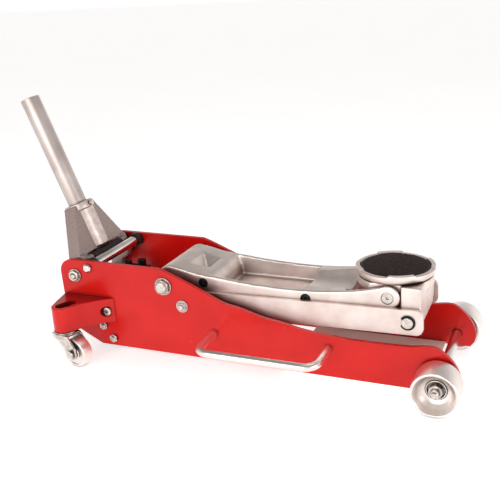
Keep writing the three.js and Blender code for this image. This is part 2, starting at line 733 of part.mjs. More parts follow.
function glandNut() {
  const start = TANK.front + GAP;
  const collar = alongX(rod(TANK.glandRadius, start, TANK.glandFront, 8));
  const bore = alongX(rod(RAM.r + GAP, start - 1, TANK.glandFront + 1));
  return carve([collar], [bore]).translate(0, 0, CRANK_PIN.z);
}

function ramRod() {
  const head = CRANK_PIN.x - CRANK.rollerRadius - RAM.rollerGap;
  return alongX(rod(RAM.r, RAM.rear, head)).translate(0, 0, CRANK_PIN.z);
}

// Long bolt that clamps both plates to the block, with a cap at each end.
function blockBolt(at) {
  const seat = PLATE.outer + GAP;
  const cap = [[0, seat], [6.5, seat], [6.5, seat + 3.2], [4.5, seat + 5], [0, seat + 5]];
  const head = turned(cap).translate(at.x, 0, at.z);
  return carve([rodY(at, SHANK.small, -seat - 1, seat + 1), head, mirrored(head)]);
}

function pumpPiston() {
  const face = PUMP_ROLLER.x + PUMP.rollerRadius + 0.6;
  return alongX(rod(PUMP.pistonRadius, face, -503)).translate(0, PUMP.y, PUMP_ROLLER.z);
}

function buildHydraulics() {
  add('hydraulic_block', hydraulicBlock(), BLACK_STEEL);
  add('reservoir_tube', tankTube(), BLACK_STEEL);
  add('gland_nut', glandNut(), ZINC_STEEL);
  add('ram_rod', ramRod(), CHROME);
  add('pump_piston', pumpPiston(), CHROME);
  add('block_bolt_upper', blockBolt(BLOCK_BOLTS.upper), ZINC_STEEL);
  add('block_bolt_lower', blockBolt(BLOCK_BOLTS.lower), ZINC_STEEL);
}

// ---------------------------------------------------------------- yoke and handle
// These pieces are drawn upright about the yoke's pivot, and the group leans them back.
function toYokeFrame(at) {
  const dx = at.x - YOKE_PIVOT.x;
  const dz = at.z - YOKE_PIVOT.z;
  const sine = Math.sin(HANDLE_TILT);
  const cosine = Math.cos(HANDLE_TILT);
  return { x: dx * cosine + dz * sine, z: dz * cosine - dx * sine };
}

function pumpYoke() {
  const { legInner, legOuter, half, webBottom, shoulder, shoulderTop, topHalf, wallBottom, wallFront } = YOKE;
  const roller = toYokeFrame(PUMP_ROLLER);
  const bump = toYokeFrame(BUMP_ROLLER);
  const web = slabX(
    [
      [legOuter, shoulder - 4], [legOuter, shoulder], [topHalf, shoulderTop], [-topHalf, shoulderTop],
      [-legOuter, shoulder], [-legOuter, shoulder - 4], [-legInner + 4, shoulder - 4], [-legInner + 8, webBottom],
      [legInner - 8, webBottom], [legInner - 4, shoulder - 4],
    ],
    -half,
    half,
  );
  const ear = slabY([...arc(0, 0, 16, 180, 360, 10), [14, shoulder], [-14, shoulder]], legInner, legOuter);
  const lug = rodY(bump, 6.5, BUMP_ROLLER.half + 2, legInner + 5);
  const rollerArm = slabY(
    [[14, 0], [-14, 4], ...arc(roller.x, roller.z, 9, 150, 330, 8)],
    legInner,
    legOuter,
  );
  const rearWall = slabX(
    [[legInner + 1, wallBottom], [legInner + 1, webBottom + 2], [-legInner - 1, webBottom + 2], [-legInner - 1, wallBottom]],
    -half,
    -wallFront,
  );
  const socket = alongZ(rod(SOCKET.r, SOCKET.bottom, SOCKET.top, 24));
  const collar = alongZ(rod(SOCKET.collarRadius, SOCKET.collarBottom, SOCKET.top, 24));
  return carve(
    [web, rearWall, ear, mirrored(ear), lug, mirrored(lug), rollerArm, socket, collar],
    [
      alongZ(rod(HANDLE.outerRadius + GAP, SOCKET.bottom + 1, SOCKET.top + 1, 24)),
      alongZ(rod(8, webBottom - 5, SOCKET.bottom + 2)),
      rodY({ x: 0, z: 0 }, SHANK.yoke + GAP, -legOuter - 1, legOuter + 1),
      rodY(bump, BUMP_ROLLER.journalRadius + GAP, -BUMP_ROLLER.journalEnd - 1, BUMP_ROLLER.journalEnd + 1),
      rodY(roller, SHANK.small + GAP, legInner - 1, legOuter + 1),
      alongX(rod(SHANK.screw + GAP, 10, 30)).translate(0, 0, SOCKET.screwHeight),
    ],
  );
}

function handleTube() {
  const { outerRadius, boreRadius, bottom, top } = HANDLE;
  const profile = [
    [0, bottom], [outerRadius, bottom], [outerRadius, top], [boreRadius, top], [boreRadius, bottom + 8], [0, bottom + 8],
  ];
  return alongZ(turned(profile, 24));
}

// Fork of the universal joint under the tube, which turns the release stem when the handle is twisted.
function releaseJoint() {
  const top = HANDLE.bottom - GAP;
  const body = alongZ(rod(6, 8, top));
  return carve([body], [box([-2, -7, 7], [2, 7, 14])]);
}

function releaseStem() {
  const shaft = alongZ(rod(SHANK.stem, -75, -6));
  return carve([shaft], [box([-6, -2, -12], [6, 2, -5])]);
}

function setScrew() {
  const tip = HANDLE.outerRadius + 2 * GAP;
  const head = SOCKET.collarRadius + GAP;
  return carve([
    alongX(rod(SHANK.screw, tip, head + 1)).translate(0, 0, SOCKET.screwHeight),
    alongX(rod(4.6, head, head + 3.4, 6)).translate(0, 0, SOCKET.screwHeight),
  ]);
}

function bumpRoller() {
  const { r, half, journalRadius, journalEnd } = BUMP_ROLLER;
  return carve([rodY(BUMP_ROLLER, r, -half, half), rodY(BUMP_ROLLER, journalRadius, -journalEnd, journalEnd)]);
}

function pumpRoller() {
  const { rollerRadius, y } = PUMP;
  const pin = rodY(PUMP_ROLLER, SHANK.small, y - 12, YOKE.legOuter);
  return carve([rodY(PUMP_ROLLER, rollerRadius, y - 11, y + 11), pin]);
}

function buildYokeAndHandle() {
  const leaning = new THREE.Group();
  leaning.position.set(YOKE_PIVOT.x, 0, YOKE_PIVOT.z);
  leaning.rotation.y = -HANDLE_TILT;
  jack.add(leaning);
  add('pump_yoke', pumpYoke(), CAST_IRON, leaning);
  add('handle_tube', handleTube(), BRIGHT_ALUMINIUM, leaning);
  add('handle_screw', setScrew(), ZINC_STEEL, leaning);
  add('release_joint', releaseJoint(), ZINC_STEEL, leaning);
  add('release_stem', releaseStem(), ZINC_STEEL, leaning);
  add('bump_roller', bumpRoller(), BLACK_RUBBER);
  add('pump_roller', pumpRoller(), ZINC_STEEL);
  addPair('yoke_pivot_bolt', headedBolt(YOKE_PIVOT, SHANK.yoke, YOKE.legInner, 10, 8.6, 82.5), ZINC_STEEL);
}

buildFrame();
buildFrontWheels();
buildCasters();
buildArm();
buildSaddle();
buildHydraulics();
buildYokeAndHandle();

export default jack;
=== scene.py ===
"""Low-profile trolley jack: every piece in its own finish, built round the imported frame."""
import json
import math

import bpy
import numpy as np
from mathutils import Matrix, Vector


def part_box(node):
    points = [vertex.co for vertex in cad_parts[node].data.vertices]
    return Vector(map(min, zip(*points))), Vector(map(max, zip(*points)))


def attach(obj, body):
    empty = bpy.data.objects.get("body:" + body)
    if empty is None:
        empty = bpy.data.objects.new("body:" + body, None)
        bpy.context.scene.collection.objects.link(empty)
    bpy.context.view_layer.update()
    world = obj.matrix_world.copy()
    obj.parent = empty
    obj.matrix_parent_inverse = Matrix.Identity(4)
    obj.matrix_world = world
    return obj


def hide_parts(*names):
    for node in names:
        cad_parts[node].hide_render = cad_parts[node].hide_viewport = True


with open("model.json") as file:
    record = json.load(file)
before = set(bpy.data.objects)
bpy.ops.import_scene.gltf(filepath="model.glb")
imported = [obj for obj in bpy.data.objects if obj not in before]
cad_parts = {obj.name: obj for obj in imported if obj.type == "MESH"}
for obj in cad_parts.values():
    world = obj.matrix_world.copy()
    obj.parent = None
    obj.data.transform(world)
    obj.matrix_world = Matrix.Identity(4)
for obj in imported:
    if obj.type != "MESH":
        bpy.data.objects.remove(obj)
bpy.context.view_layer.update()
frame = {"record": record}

MM = 0.001
RECORD = frame["record"]
BODY_OF = {node: body for body, nodes in RECORD["behaviour"]["bodies"].items() for node in nodes}

# ---------------------------------------------------------------- driving dimensions
# Millimetres. X runs forward from the front axle, Y to the left, Z up from the floor.
axle_low, axle_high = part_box("front_axle")
AXLE_X = (axle_low.x + axle_high.x) / 2 / MM  # where the front axle stands in the frame

GAP = 0.3  # between pieces that fit or turn in one another

# Side plates: faces, lower and upper edge, rear end.
PLATE_IN, PLATE_OUT, PLATE_LOW, PLATE_HIGH, PLATE_REAR = 69.0, 75.0, 12.5, 143.5, -563.0

# Front wheels on their axle.
AXLE_Z = 30.2
AXLE = (0, AXLE_Z)
WHEEL_R, WHEEL_IN, WHEEL_OUT, WHEEL_HUB = 30.2, 79.2, 117.8, 97.5

# Pivots are (x, z) lines across the jack. Arm and link bars are equally long, so the saddle stays level.
ARM_PIVOT = (-388.7, 117.2)
LINK_PIVOT = (-360.6, 89.8)
ARM_LENGTH = 315.6
REST_SLOPE = math.radians(1.27)
SADDLE_PIVOT = (
    ARM_PIVOT[0] + ARM_LENGTH * math.cos(REST_SLOPE),
    ARM_PIVOT[1] + ARM_LENGTH * math.sin(REST_SLOPE),
)
LOWER_PIVOT = (
    LINK_PIVOT[0] + ARM_LENGTH * math.cos(REST_SLOPE),
    LINK_PIVOT[1] + ARM_LENGTH * math.sin(REST_SLOPE),
)
ARM_HALF, ARM_WALL = 52.0, 7.0
LINK_IN, LINK_OUT, LINK_HALF = 52.3, 58.8, 17.0
CRANK_LENGTH, CRANK_LEAN = 50.0, math.radians(17)
CRANK_PIN = (
    ARM_PIVOT[0] - CRANK_LENGTH * math.sin(CRANK_LEAN),
    ARM_PIVOT[1] - CRANK_LENGTH * math.cos(CRANK_LEAN),
)

# Saddle: its axis, outer radius, underside and rim, and the pad in it.
SADDLE_X, SADDLE_R, SADDLE_LOW, SADDLE_RIM, SADDLE_LUG = -74.0, 53.0, 141.3, 152.5, 154.6
SADDLE_FLOOR, SADDLE_STEM_R = SADDLE_LOW + 4, 12.0
PAD_R, PAD_TOP = 46.4, 154.0

# Yoke and handle, which lean back together.
YOKE_PIVOT = (-537.4, 119.8)
YOKE_IN, YOKE_OUT = 50.0, 62.0
HANDLE_TILT = math.radians(21.5)
TUBE_R, TUBE_BORE, TUBE_LOW, TUBE_HIGH = 14.5, 12.5, 32.0, 268.0
SOCKET_R, SOCKET_TOP, SCREW_Z = 20.0, 95.1, 89.0
PUMP_LEVER, PUMP_LEAN, PUMP_Y = 32.0, math.radians(22.5), 24.0
PUMP_ROLLER = (
    YOKE_PIVOT[0] - PUMP_LEVER * math.sin(PUMP_LEAN),
    YOKE_PIVOT[1] - PUMP_LEVER * math.cos(PUMP_LEAN),
)
TIE_BAR, TIE_BAR_R = (-513.8, 133.2), 8.0
BUMP_ROLLER, BUMP_JOURNAL_R = (-529.4, 136.0), 3.5

# Casters and their brackets.
CASTER_X, CASTER_Y, CASTER_TRAIL, CASTER_YAW, CASTER_R = -534.0, 119.5, 22.7, math.radians(14), 21.7
BRACKET_LOW, BRACKET_HIGH, BRACKET_WALL = 51.8, 89.7, 4.0
BRACKET_BOLT = (-484.0, 70.0)

BLOCK_BOLTS = {"upper": (-496.6, 43.2), "lower": (-481.4, 24.5)}
ARM_BOLTS = {"rear": (-336.9, 118.8), "front": (-184.1, 111.5)}

# Radii of shanks and journals; what they stand in is bored a gap wider.
SHAFT_R, AXLE_R, LINK_BOLT_R, UPPER_PIN_R, LOWER_PIN_R = 8.0, 7.0, 7.0, 8.0, 7.5
YOKE_BOLT_R, CRANK_PIN_R, BOLT_R, STEM_R, TIE_BAR_END_R = 6.0, 5.0, 4.0, 6.0, 4.5


# ---------------------------------------------------------------- outlines
def arc(cx, cy, r, start, end, steps):
    """Points on an arc from one angle to another, in degrees."""
    angles = np.radians(np.linspace(start, end, steps + 1))
    return [(cx + r * math.cos(a), cy + r * math.sin(a)) for a in angles]


def spline(points, steps):
    """Smooth curve through all the points."""
    p = np.array(points, float)
    ends = np.vstack([2 * p[0] - p[1], p, 2 * p[-1] - p[-2]])
    made = []
    for t in np.linspace(0, len(p) - 1, steps + 1):
        i = min(int(t), len(p) - 2)
        f = t - i
        a, b, c, d = ends[i : i + 4]
        square = 2 * a - 5 * b + 4 * c - d
        cube = 3 * b - a - 3 * c + d
        made.append(tuple(0.5 * (2 * b + (c - a) * f + square * f**2 + cube * f**3)))
    return made


def rounded(corners, closed=False, step=18.0):
    """Polyline whose (x, y, radius) corners are rounded off; corners given as (x, y) stay sharp."""
    n = len(corners)
    made = []
    for i, corner in enumerate(corners):
        at = np.array(corner[:2], float)
        radius = corner[2] if len(corner) > 2 else 0
        if radius <= 0 or (not closed and i in (0, n - 1)):
            made.append(tuple(at))
            continue
        to_last = np.array(corners[i - 1][:2], float) - at
        to_next = np.array(corners[(i + 1) % n][:2], float) - at
        room = 0.49 * min(np.linalg.norm(to_last), np.linalg.norm(to_next))
        to_last /= np.linalg.norm(to_last)
        to_next /= np.linalg.norm(to_next)
        between = math.acos(max(-1, min(1, float(to_last @ to_next))))
        if between > math.pi - 0.02:
            made.append(tuple(at))
            continue
        reach = min(radius / math.tan(between / 2), room)
        radius = reach * math.tan(between / 2)
        middle = to_last + to_next
        centre = at + middle / np.linalg.norm(middle) * radius / math.sin(between / 2)
        first, last = at + to_last * reach - centre, at + to_next * reach - centre
        a0 = math.atan2(first[1], first[0])
        turn = (math.atan2(last[1], last[0]) - a0 + math.pi) % (2 * math.pi) - math.pi
        steps = max(2, round(abs(math.degrees(turn)) / step))
        for k in range(steps + 1):
            a = a0 + turn * k / steps
            made.append((centre[0] + radius * math.cos(a), centre[1] + radius * math.sin(a)))
    return made


# ---------------------------------------------------------------- closed solids: (points, faces)
def lathe(profile, sides=96, shape=None):
    """Solid turned about Z from (radius, height) pairs, bottom to top outside; a closed profile is a ring."""
    ring = profile[0] == profile[-1]
    rows = profile[:-1] if ring else profile
    angles = 2 * math.pi * np.arange(sides) / sides
    points, faces, starts = [], [], []
    for r, h in rows:
        pole = r < 1e-6
        starts.append((len(points), pole))
        if pole:
            points.append((0.0, 0.0, h))
            continue
        for a in angles:
            rr, hh = shape(a, r, h) if shape else (r, h)
            points.append((rr * math.cos(a), rr * math.sin(a), hh))
    pairs = list(zip(starts, starts[1:])) + ([(starts[-1], starts[0])] if ring else [])
    for (low, low_pole), (high, high_pole) in pairs:
        for k in range(sides):
            n = (k + 1) % sides
            if low_pole:
                faces.append((low, high + n, high + k))
            elif high_pole:
                faces.append((low + k, low + n, high))
            else:
                faces.append((low + k, low + n, high + n, high + k))
    return np.array(points, float), faces


def prism(outline, low, high):
    """Outline in X and Y, thickness along Z."""
    p = np.array([q[:2] for q in outline], float)
    area = np.sum(p[:, 0] * np.roll(p[:, 1], -1) - p[:, 1] * np.roll(p[:, 0], -1))
    if area < 0:
        p = p[::-1]
    n = len(p)
    points = np.vstack([np.column_stack([p, np.full(n, low)]), np.column_stack([p, np.full(n, high)])])
    sides = [(k, (k + 1) % n, n + (k + 1) % n, n + k) for k in range(n)]
    return points, [tuple(range(n - 1, -1, -1)), tuple(range(n, 2 * n))] + sides


def along_x(solid):
    return solid[0][:, [2, 1, 0]] * (1, 1, -1), solid[1]


def along_y(solid):
    return solid[0][:, [0, 2, 1]] * (1, 1, -1), solid[1]


def slab_y(outline, low, high):
    """Outline in X and Z, thickness along Y."""
    points, faces = prism(outline, -high, -low)
    return points[:, [0, 2, 1]] * (1, -1, 1), faces


def slab_x(outline, low, high):
    """Outline in Y and Z, thickness along X."""
    points, faces = prism(outline, low, high)
    return points[:, [2, 0, 1]], faces


def block(low, high):
    (x0, y0, z0), (x1, y1, z1) = low, high
    return prism([(x0, y0), (x1, y0), (x1, y1), (x0, y1)], z0, z1)


def moved(solid, x=0.0, y=0.0, z=0.0):
    return solid[0] + (x, y, z), solid[1]


def turned(solid, axis, angle, about=(0.0, 0.0, 0.0)):
    spin = np.array(Matrix.Rotation(angle, 3, axis))
    return (solid[0] - about) @ spin.T + about, solid[1]


def mirrored(solid):
    return solid[0] * (1, -1, 1), [tuple(reversed(f)) for f in solid[1]]


def join(*solids):
    points, faces, start = [], [], 0
    for p, f in solids:
        points.append(p)
        faces += [tuple(i + start for i in face) for face in f]
        start += len(p)
    return np.vstack(points), faces


def both_ends(solid):
    """A solid on the positive end of Z, and the same one turned over on the other end."""
    return join(solid, turned(solid, "X", math.pi))


def rod(r, low, high, sides=64, edge=0.0):
    """Round rod along Z with its two rims rounded."""
    return lathe(rounded([(0, low), (r, low, edge), (r, high, edge), (0, high)]), sides)


def rod_y(at, r, low, high, edge=0.0, sides=64):
    return moved(along_y(rod(r, low, high, sides, edge)), at[0], 0, at[1])


def washer(bore, r, low, high):
    corners = [(bore, low), (r, low, 0.4), (r, high, 0.5), (bore, high, 0.3), (bore, low)]
    return lathe(rounded(corners), 64)


def both_ways(side):
    """Profile of a turned piece that is alike at both ends, from its half on the positive side."""
    return [(r, -h, *rest) for r, h, *rest in reversed(side)] + side


def hexagon(across, low, high, bore=0.0):
    """Hexagon nut, or bolt head without a bore: its corners are turned down to a cone at both ends."""
    flat, corner = across / 2, across / 2 / math.cos(math.pi / 6)
    land = 0.95 * flat  # radius of the flat face inside the cone
    fall = (corner - land) * math.tan(math.radians(28))
    cone = [(land + (corner - land) * k / 4, fall * k / 4) for k in range(5)]
    rows = [(r, low + h) for r, h in cone] + [(r, high - h) for r, h in reversed(cone)]

    def to_flats(a, r, h):
        beside = (a + math.pi / 6) % (math.pi / 3) - math.pi / 6
        return (min(r, flat / math.cos(beside)) if r > flat * 0.9 else r), h

    if bore:
        lead = 0.8  # chamfer at the mouth of the bore
        rim = [(bore + lead, high), (bore, high - lead), (bore, low + lead), (bore + lead, low)]
        return lathe([rim[-1]] + rows + rim, 72, to_flats)
    return lathe([(0, low)] + rows + [(0, high)], 72, to_flats)


def thread(r, low, high, pitch=1.5):
    """Threaded end: V grooves round a rod, and a chamfer at the top."""
    rows = [(0, low), (r, low)]
    h = low
    while h + pitch < high - pitch:
        rows += [(r, h + 0.2 * pitch), (r - 0.5 * pitch, h + 0.6 * pitch), (r, h + pitch)]
        h += pitch
    return lathe(rows + [(r, high - pitch), (r - pitch, high), (0, high)], 48)


# ---------------------------------------------------------------- joins, cuts and cast skins
def work_object(solid):
    points, faces = solid
    mesh = bpy.data.meshes.new("work")
    mesh.from_pydata(points.tolist(), [], faces)
    made = bpy.data.objects.new("work", mesh)
    bpy.context.scene.collection.objects.link(made)
    return made


def evaluated(made, helpers=()):
    """The object's mesh with its modifiers, as a solid; the object is removed."""
    bpy.context.view_layer.update()
    seen = made.evaluated_get(bpy.context.evaluated_depsgraph_get())
    mesh = bpy.data.meshes.new_from_object(seen)
    points = np.zeros(len(mesh.vertices) * 3)
    mesh.vertices.foreach_get("co", points)
    faces = [tuple(face.vertices) for face in mesh.polygons]
    for old in (made, *helpers):
        old_mesh = old.data
        bpy.data.objects.remove(old)
        bpy.data.meshes.remove(old_mesh)
    bpy.data.meshes.remove(mesh)
    return points.reshape(-1, 3), faces


def carve(solids, cuts=()):
    """Joins the first solids and cuts the second ones out of them."""
    made = work_object(solids[0])
    helpers = []
    for operation, group in (("UNION", solids[1:]), ("DIFFERENCE", cuts)):
        for solid in group:
            tool = work_object(solid)
            tool.hide_viewport = True
            helpers.append(tool)
            cut = made.modifiers.new("cut", "BOOLEAN")
            cut.operation = operation
            cut.solver = "MANIFOLD"
            cut.object = tool
    for tool in helpers:
        tool.hide_viewport = False
    return evaluated(made, helpers)


def cast_skin(solid, voxel, passes):
    """One closed skin with the soft corners that a casting has."""
    made = work_object(solid)
    remesh = made.modifiers.new("skin", "REMESH")
    remesh.mode = "VOXEL"
    remesh.voxel_size = voxel
    soften = made.modifiers.new("soft", "SMOOTH")
    soften.factor = 0.5
    soften.iterations = passes
    return evaluated(made)


# ---------------------------------------------------------------- materials
def linear(code):
    """Linear RGBA of an sRGB hex colour."""
    parts = [int(code[i : i + 2], 16) / 255 for i in (1, 3, 5)]
    return (*(c / 12.92 if c <= 0.04045 else ((c + 0.055) / 1.055) ** 2.4 for c in parts), 1.0)


def per_metre(size):
    """Pattern scale for features of that size in millimetres."""
    return 1 / (size * MM)


def add_node(tree, kind, settings=None, values=None, links=None):
    """Adds a node, then sets its settings, its sockets' values and its links."""
    made = tree.nodes.new("ShaderNode" + kind)
    for name, value in (settings or {}).items():
        setattr(made, name, value)
    for name, value in (values or {}).items():
        made.inputs[name].default_value = value
    for name, source in (links or {}).items():
        tree.links.new(source, made.inputs[name])
    return made


WAVE_UNIT = math.pi / 10  # scale at which a wave texture repeats once per unit


def start_material(name, **values):
    """A new material with its shader, and the object's own coordinates in metres."""
    made = bpy.data.materials.new(name)
    made.use_nodes = True
    tree = made.node_tree
    shader = tree.nodes["Principled BSDF"]
    for socket, value in values.items():
        shader.inputs[socket.replace("_", " ")].default_value = value
    place = add_node(tree, "TexCoord").outputs["Object"]
    return made, tree, shader, place


def two_tone(tree, shader, place, size, dark, light, detail=3.0, corner_shade=None, reach=12.0, unshaded_at=0.75):
    """Base colour that drifts between two tones over that many millimetres.

    With a third colour, whatever lies nearer than reach darkens the surface towards it: painted shade in corners,
    creases and recesses; the surface is unshaded from the given share of open sky.
    """
    noise = add_node(tree, "TexNoise", None, {"Scale": per_metre(size), "Detail": detail}, {"Vector": place})
    tones = add_node(tree, "ValToRGB", None, None, {"Fac": noise.outputs["Fac"]})
    for stop, at, code in zip(tones.color_ramp.elements, (0.35, 0.65), (dark, light)):
        stop.position = at
        stop.color = linear(code)
    colour = tones.outputs["Color"]
    if corner_shade:
        # Painted shade: the less open sky a point has within reach, the nearer its colour comes to the third colour.
        open_sky = add_node(tree, "AmbientOcclusion", {"samples": 8}, {"Distance": reach * MM}).outputs["AO"]
        darkest_at = 0.2
        unshaded_share = add_node(tree, "MapRange", None, {"From Min": darkest_at, "From Max": unshaded_at}, {"Value": open_sky})
        # The colour mix: input 0 is the share, 6 and 7 are its two colours, output 2 is the colour it gives.
        mixed = add_node(
            tree, "Mix", {"data_type": "RGBA"}, {6: linear(corner_shade)}, {0: unshaded_share.outputs["Result"], 7: colour}
        )
        colour = mixed.outputs[2]
    tree.links.new(colour, shader.inputs["Base Color"])


def uneven_gloss(tree, shader, place, size, low, high):
    """Roughness that varies between two values over that many millimetres."""
    noise = add_node(tree, "TexNoise", None, {"Scale": per_metre(size), "Detail": 4.0}, {"Vector": place})
    span = add_node(tree, "MapRange", None, {"To Min": low, "To Max": high}, {"Value": noise.outputs["Fac"]})
    tree.links.new(span.outputs["Result"], shader.inputs["Roughness"])


def relief(tree, shader, place, grains):
    """Bumps from grains of (size, depth, detail), the size and depth in millimetres, one over another."""
    links = {}
    for size, depth, detail in grains:
        noise = add_node(tree, "TexNoise", None, {"Scale": per_metre(size), "Detail": detail}, {"Vector": place})
        links["Height"] = noise.outputs["Fac"]
        bump = add_node(tree, "Bump", None, {"Strength": 1.0, "Distance": depth * MM}, links)
        links["Normal"] = bump.outputs["Normal"]
    tree.links.new(links["Normal"], shader.inputs["Normal"])


# Powder-coated steel plate: an even, deep red film with a soft gloss and a faint orange peel.
# Painted shade darkens it in corners: narrowly on the plates, widely on the brackets.
def powder_coat(name, corner_shade_colour, reach, unshaded_at):
    made, tree, shader, place = start_material(name, IOR=1.5, Specular_IOR_Level=0.35)
    two_tone(tree, shader, place, 70, "#C60D08", "#D2140D", corner_shade=corner_shade_colour, reach=reach, unshaded_at=unshaded_at)
    uneven_gloss(tree, shader, place, 14, 0.2, 0.3)
    relief(tree, shader, place, [(2.2, 0.012, 2.0)])
    return made


# Sand-cast aluminium, blasted: pale, satin, with the fine grain of the mould.
def cast_aluminium():
    made, tree, shader, place = start_material("blasted_cast_aluminium", Metallic=1.0)
    # The third colour is painted shade in the pockets and corners of the castings.
    two_tone(tree, shader, place, 30, "#E0D0C9", "#EEE3DD", corner_shade="#6E4C42", reach=34)
    uneven_gloss(tree, shader, place, 5, 0.38, 0.52)
    relief(tree, shader, place, [(9, 0.12, 2.0), (0.9, 0.05, 2.0)])
    return made


# Cast iron under clear lacquer: grey-brown, coarse grained, duller than the aluminium.
def cast_iron():
    made, tree, shader, place = start_material("lacquered_cast_iron", Metallic=0.85)
    # The third colour is painted shade in the corners of the web.
    two_tone(tree, shader, place, 1.8, "#9C8985", "#AD9B96", 6.0, corner_shade="#3E3430", reach=16)
    uneven_gloss(tree, shader, place, 2.5, 0.42, 0.6)
    relief(tree, shader, place, [(7, 0.12, 2.0), (1.3, 0.05, 4.0)])
    return made


# The socket's outside is fettled smooth, with a longer highlight; its paler tone is painted light on the same iron.
def fettled_iron_painted_paler():
    made, tree, shader, place = start_material("fettled_cast_iron_painted_paler", Metallic=0.9)
    # The paler tones are painted light; the third colour is painted shade in corners.
    two_tone(tree, shader, place, 8.0, "#C2B2AB", "#D6C9C2", 4.0, corner_shade="#5A4E4A", reach=10)
    uneven_gloss(tree, shader, place, 4, 0.34, 0.46)
    relief(tree, shader, place, [(1.3, 0.03, 3.0)])
    return made


# Aluminium turned on a lathe: bright, with fine rings round the axle where the tool has passed.
def turned_aluminium(name, centre):
    made, tree, shader, place = start_material(name, Metallic=1.0)
    # The third colour is painted shade where the wheel meets hub, nut and plate.
    two_tone(tree, shader, place, 35, "#EADFDA", "#F6F0EC", corner_shade="#6E5A54", reach=9)
    uneven_gloss(tree, shader, place, 12, 0.3, 0.4)
    axle = [c * MM for c in centre]
    from_axle = add_node(tree, "VectorMath", {"operation": "SUBTRACT"}, {1: axle}, {0: place})
    ring_width, ring_depth = 0.8, 0.012  # wider than real tool marks, so that they show
    rings = add_node(
        tree,
        "TexWave",
        {"wave_type": "RINGS", "rings_direction": "Y"},
        {"Scale": per_metre(ring_width) * WAVE_UNIT, "Distortion": 0.6, "Detail": 1.0},
        {"Vector": from_axle.outputs["Vector"]},
    )
    bump = add_node(
        tree, "Bump", None, {"Strength": 1.0, "Distance": ring_depth * MM}, {"Height": rings.outputs["Fac"]}
    )
    tree.links.new(bump.outputs["Normal"], shader.inputs["Normal"])
    return made


# Drawn aluminium tube: satin, with faint streaks along its length.
def drawn_tube():
    made, tree, shader, place = start_material("drawn_aluminium_tube", Metallic=1.0)
    # The third colour is painted shade where the tube enters the socket.
    two_tone(tree, shader, place, 45, "#B9ABA6", "#CDC1BC", corner_shade="#5A504C", reach=6)
    upright = add_node(
        tree, "Mapping", None, {"Rotation": (0, HANDLE_TILT, 0), "Scale": (1, 1, 0.02)}, {"Vector": place}
    ).outputs["Vector"]
    uneven_gloss(tree, shader, upright, 2.0, 0.36, 0.48)
    relief(tree, shader, upright, [(1.2, 0.025, 3.0)])
    return made


# Coated aluminium sheet: a pale cream film, satin, with faint streaks along the rolling direction.
def coated_sheet():
    made, tree, shader, place = start_material("cream_coated_sheet", IOR=1.5)
    two_tone(tree, shader, place, 50, "#F2E6DA", "#FAF1E8")
    rolled = add_node(tree, "Mapping", None, {"Scale": (0.03, 1, 1)}, {"Vector": place}).outputs["Vector"]
    uneven_gloss(tree, shader, rolled, 2.0, 0.25, 0.4)
    relief(tree, shader, rolled, [(1.5, 0.02, 2.0)])
    return made


# Zinc-plated steel: bright silver with a faint warm cloud from the passivation.
def zinc_plate():
    made, tree, shader, place = start_material("zinc_plated_steel", Metallic=1.0)
    # The third colour is painted shade round heads, nuts and washers.
    two_tone(tree, shader, place, 6, "#C6BBB4", "#E4DCD5", corner_shade="#1C1512", reach=8, unshaded_at=1.0)
    uneven_gloss(tree, shader, place, 4, 0.2, 0.34)
    relief(tree, shader, place, [(1.2, 0.015, 2.0)])
    return made


# Chromium plate over polished bar: mirror-like, with the slight waves of the bar under it.
def chrome_plate():
    made, tree, shader, place = start_material("polished_chrome_plate", Metallic=1.0)
    # The third colour is painted shade where the bar passes close to other parts.
    two_tone(tree, shader, place, 25, "#DDD6D2", "#EFEAE6", corner_shade="#3A2E2A", reach=6, unshaded_at=0.95)
    uneven_gloss(tree, shader, place, 8, 0.1, 0.2)
    relief(tree, shader, place, [(11, 0.03, 2.0)])
    return made


# Satin nickel plate on the bent bars: pale, with highlights that spread along the bar.
def satin_nickel():
    made, tree, shader, place = start_material("satin_nickel_plate", Metallic=1.0)
    # The third colour is painted shade where the bar passes close to the plate.
    two_tone(tree, shader, place, 25, "#EADFD8", "#F8F1EC", corner_shade="#5A342C", reach=8, unshaded_at=0.95)
    uneven_gloss(tree, shader, place, 6, 0.26, 0.36)
    relief(tree, shader, place, [(1.4, 0.015, 2.0)])
    return made


# Moulded rubber: brown-black and matt, with a fine tooth that keeps highlights small.
def moulded_rubber():
    made, tree, shader, place = start_material("moulded_black_rubber", IOR=1.52, Specular_IOR_Level=0.3)
    two_tone(tree, shader, place, 5, "#1D0E0B", "#2E1813")
    uneven_gloss(tree, shader, place, 3, 0.42, 0.58)
    relief(tree, shader, place, [(0.8, 0.04, 2.0)])
    return made


# Black oxide on steel: near black with a low oily sheen.
def black_oxide():
    made, tree, shader, place = start_material("black_oxide_steel", Metallic=0.7)
    two_tone(tree, shader, place, 8, "#191616", "#2A2626")
    uneven_gloss(tree, shader, place, 5, 0.32, 0.46)
    relief(tree, shader, place, [(1.5, 0.03, 2.0)])
    return made


POWDER_COAT = powder_coat("red_powder_coat", "#5A100A", 14, 0.75)
# The brackets' wide reach paints shade over their tops, darkest beside the plate.
BRACKET_COAT = powder_coat("red_powder_coat_with_painted_shade", "#230805", 60, 1.0)
CAST_ALUMINIUM = cast_aluminium()
CAST_IRON = cast_iron()
FETTLED_IRON_PAINTED_PALER = fettled_iron_painted_paler()
TURNED = turned_aluminium("turned_aluminium_wheel", (AXLE_X, 0, AXLE_Z))
DRAWN_TUBE = drawn_tube()
COATED_SHEET = coated_sheet()
ZINC = zinc_plate()
CHROME = chrome_plate()
NICKEL = satin_nickel()
RUBBER = moulded_rubber()
BLACK_OXIDE = black_oxide()


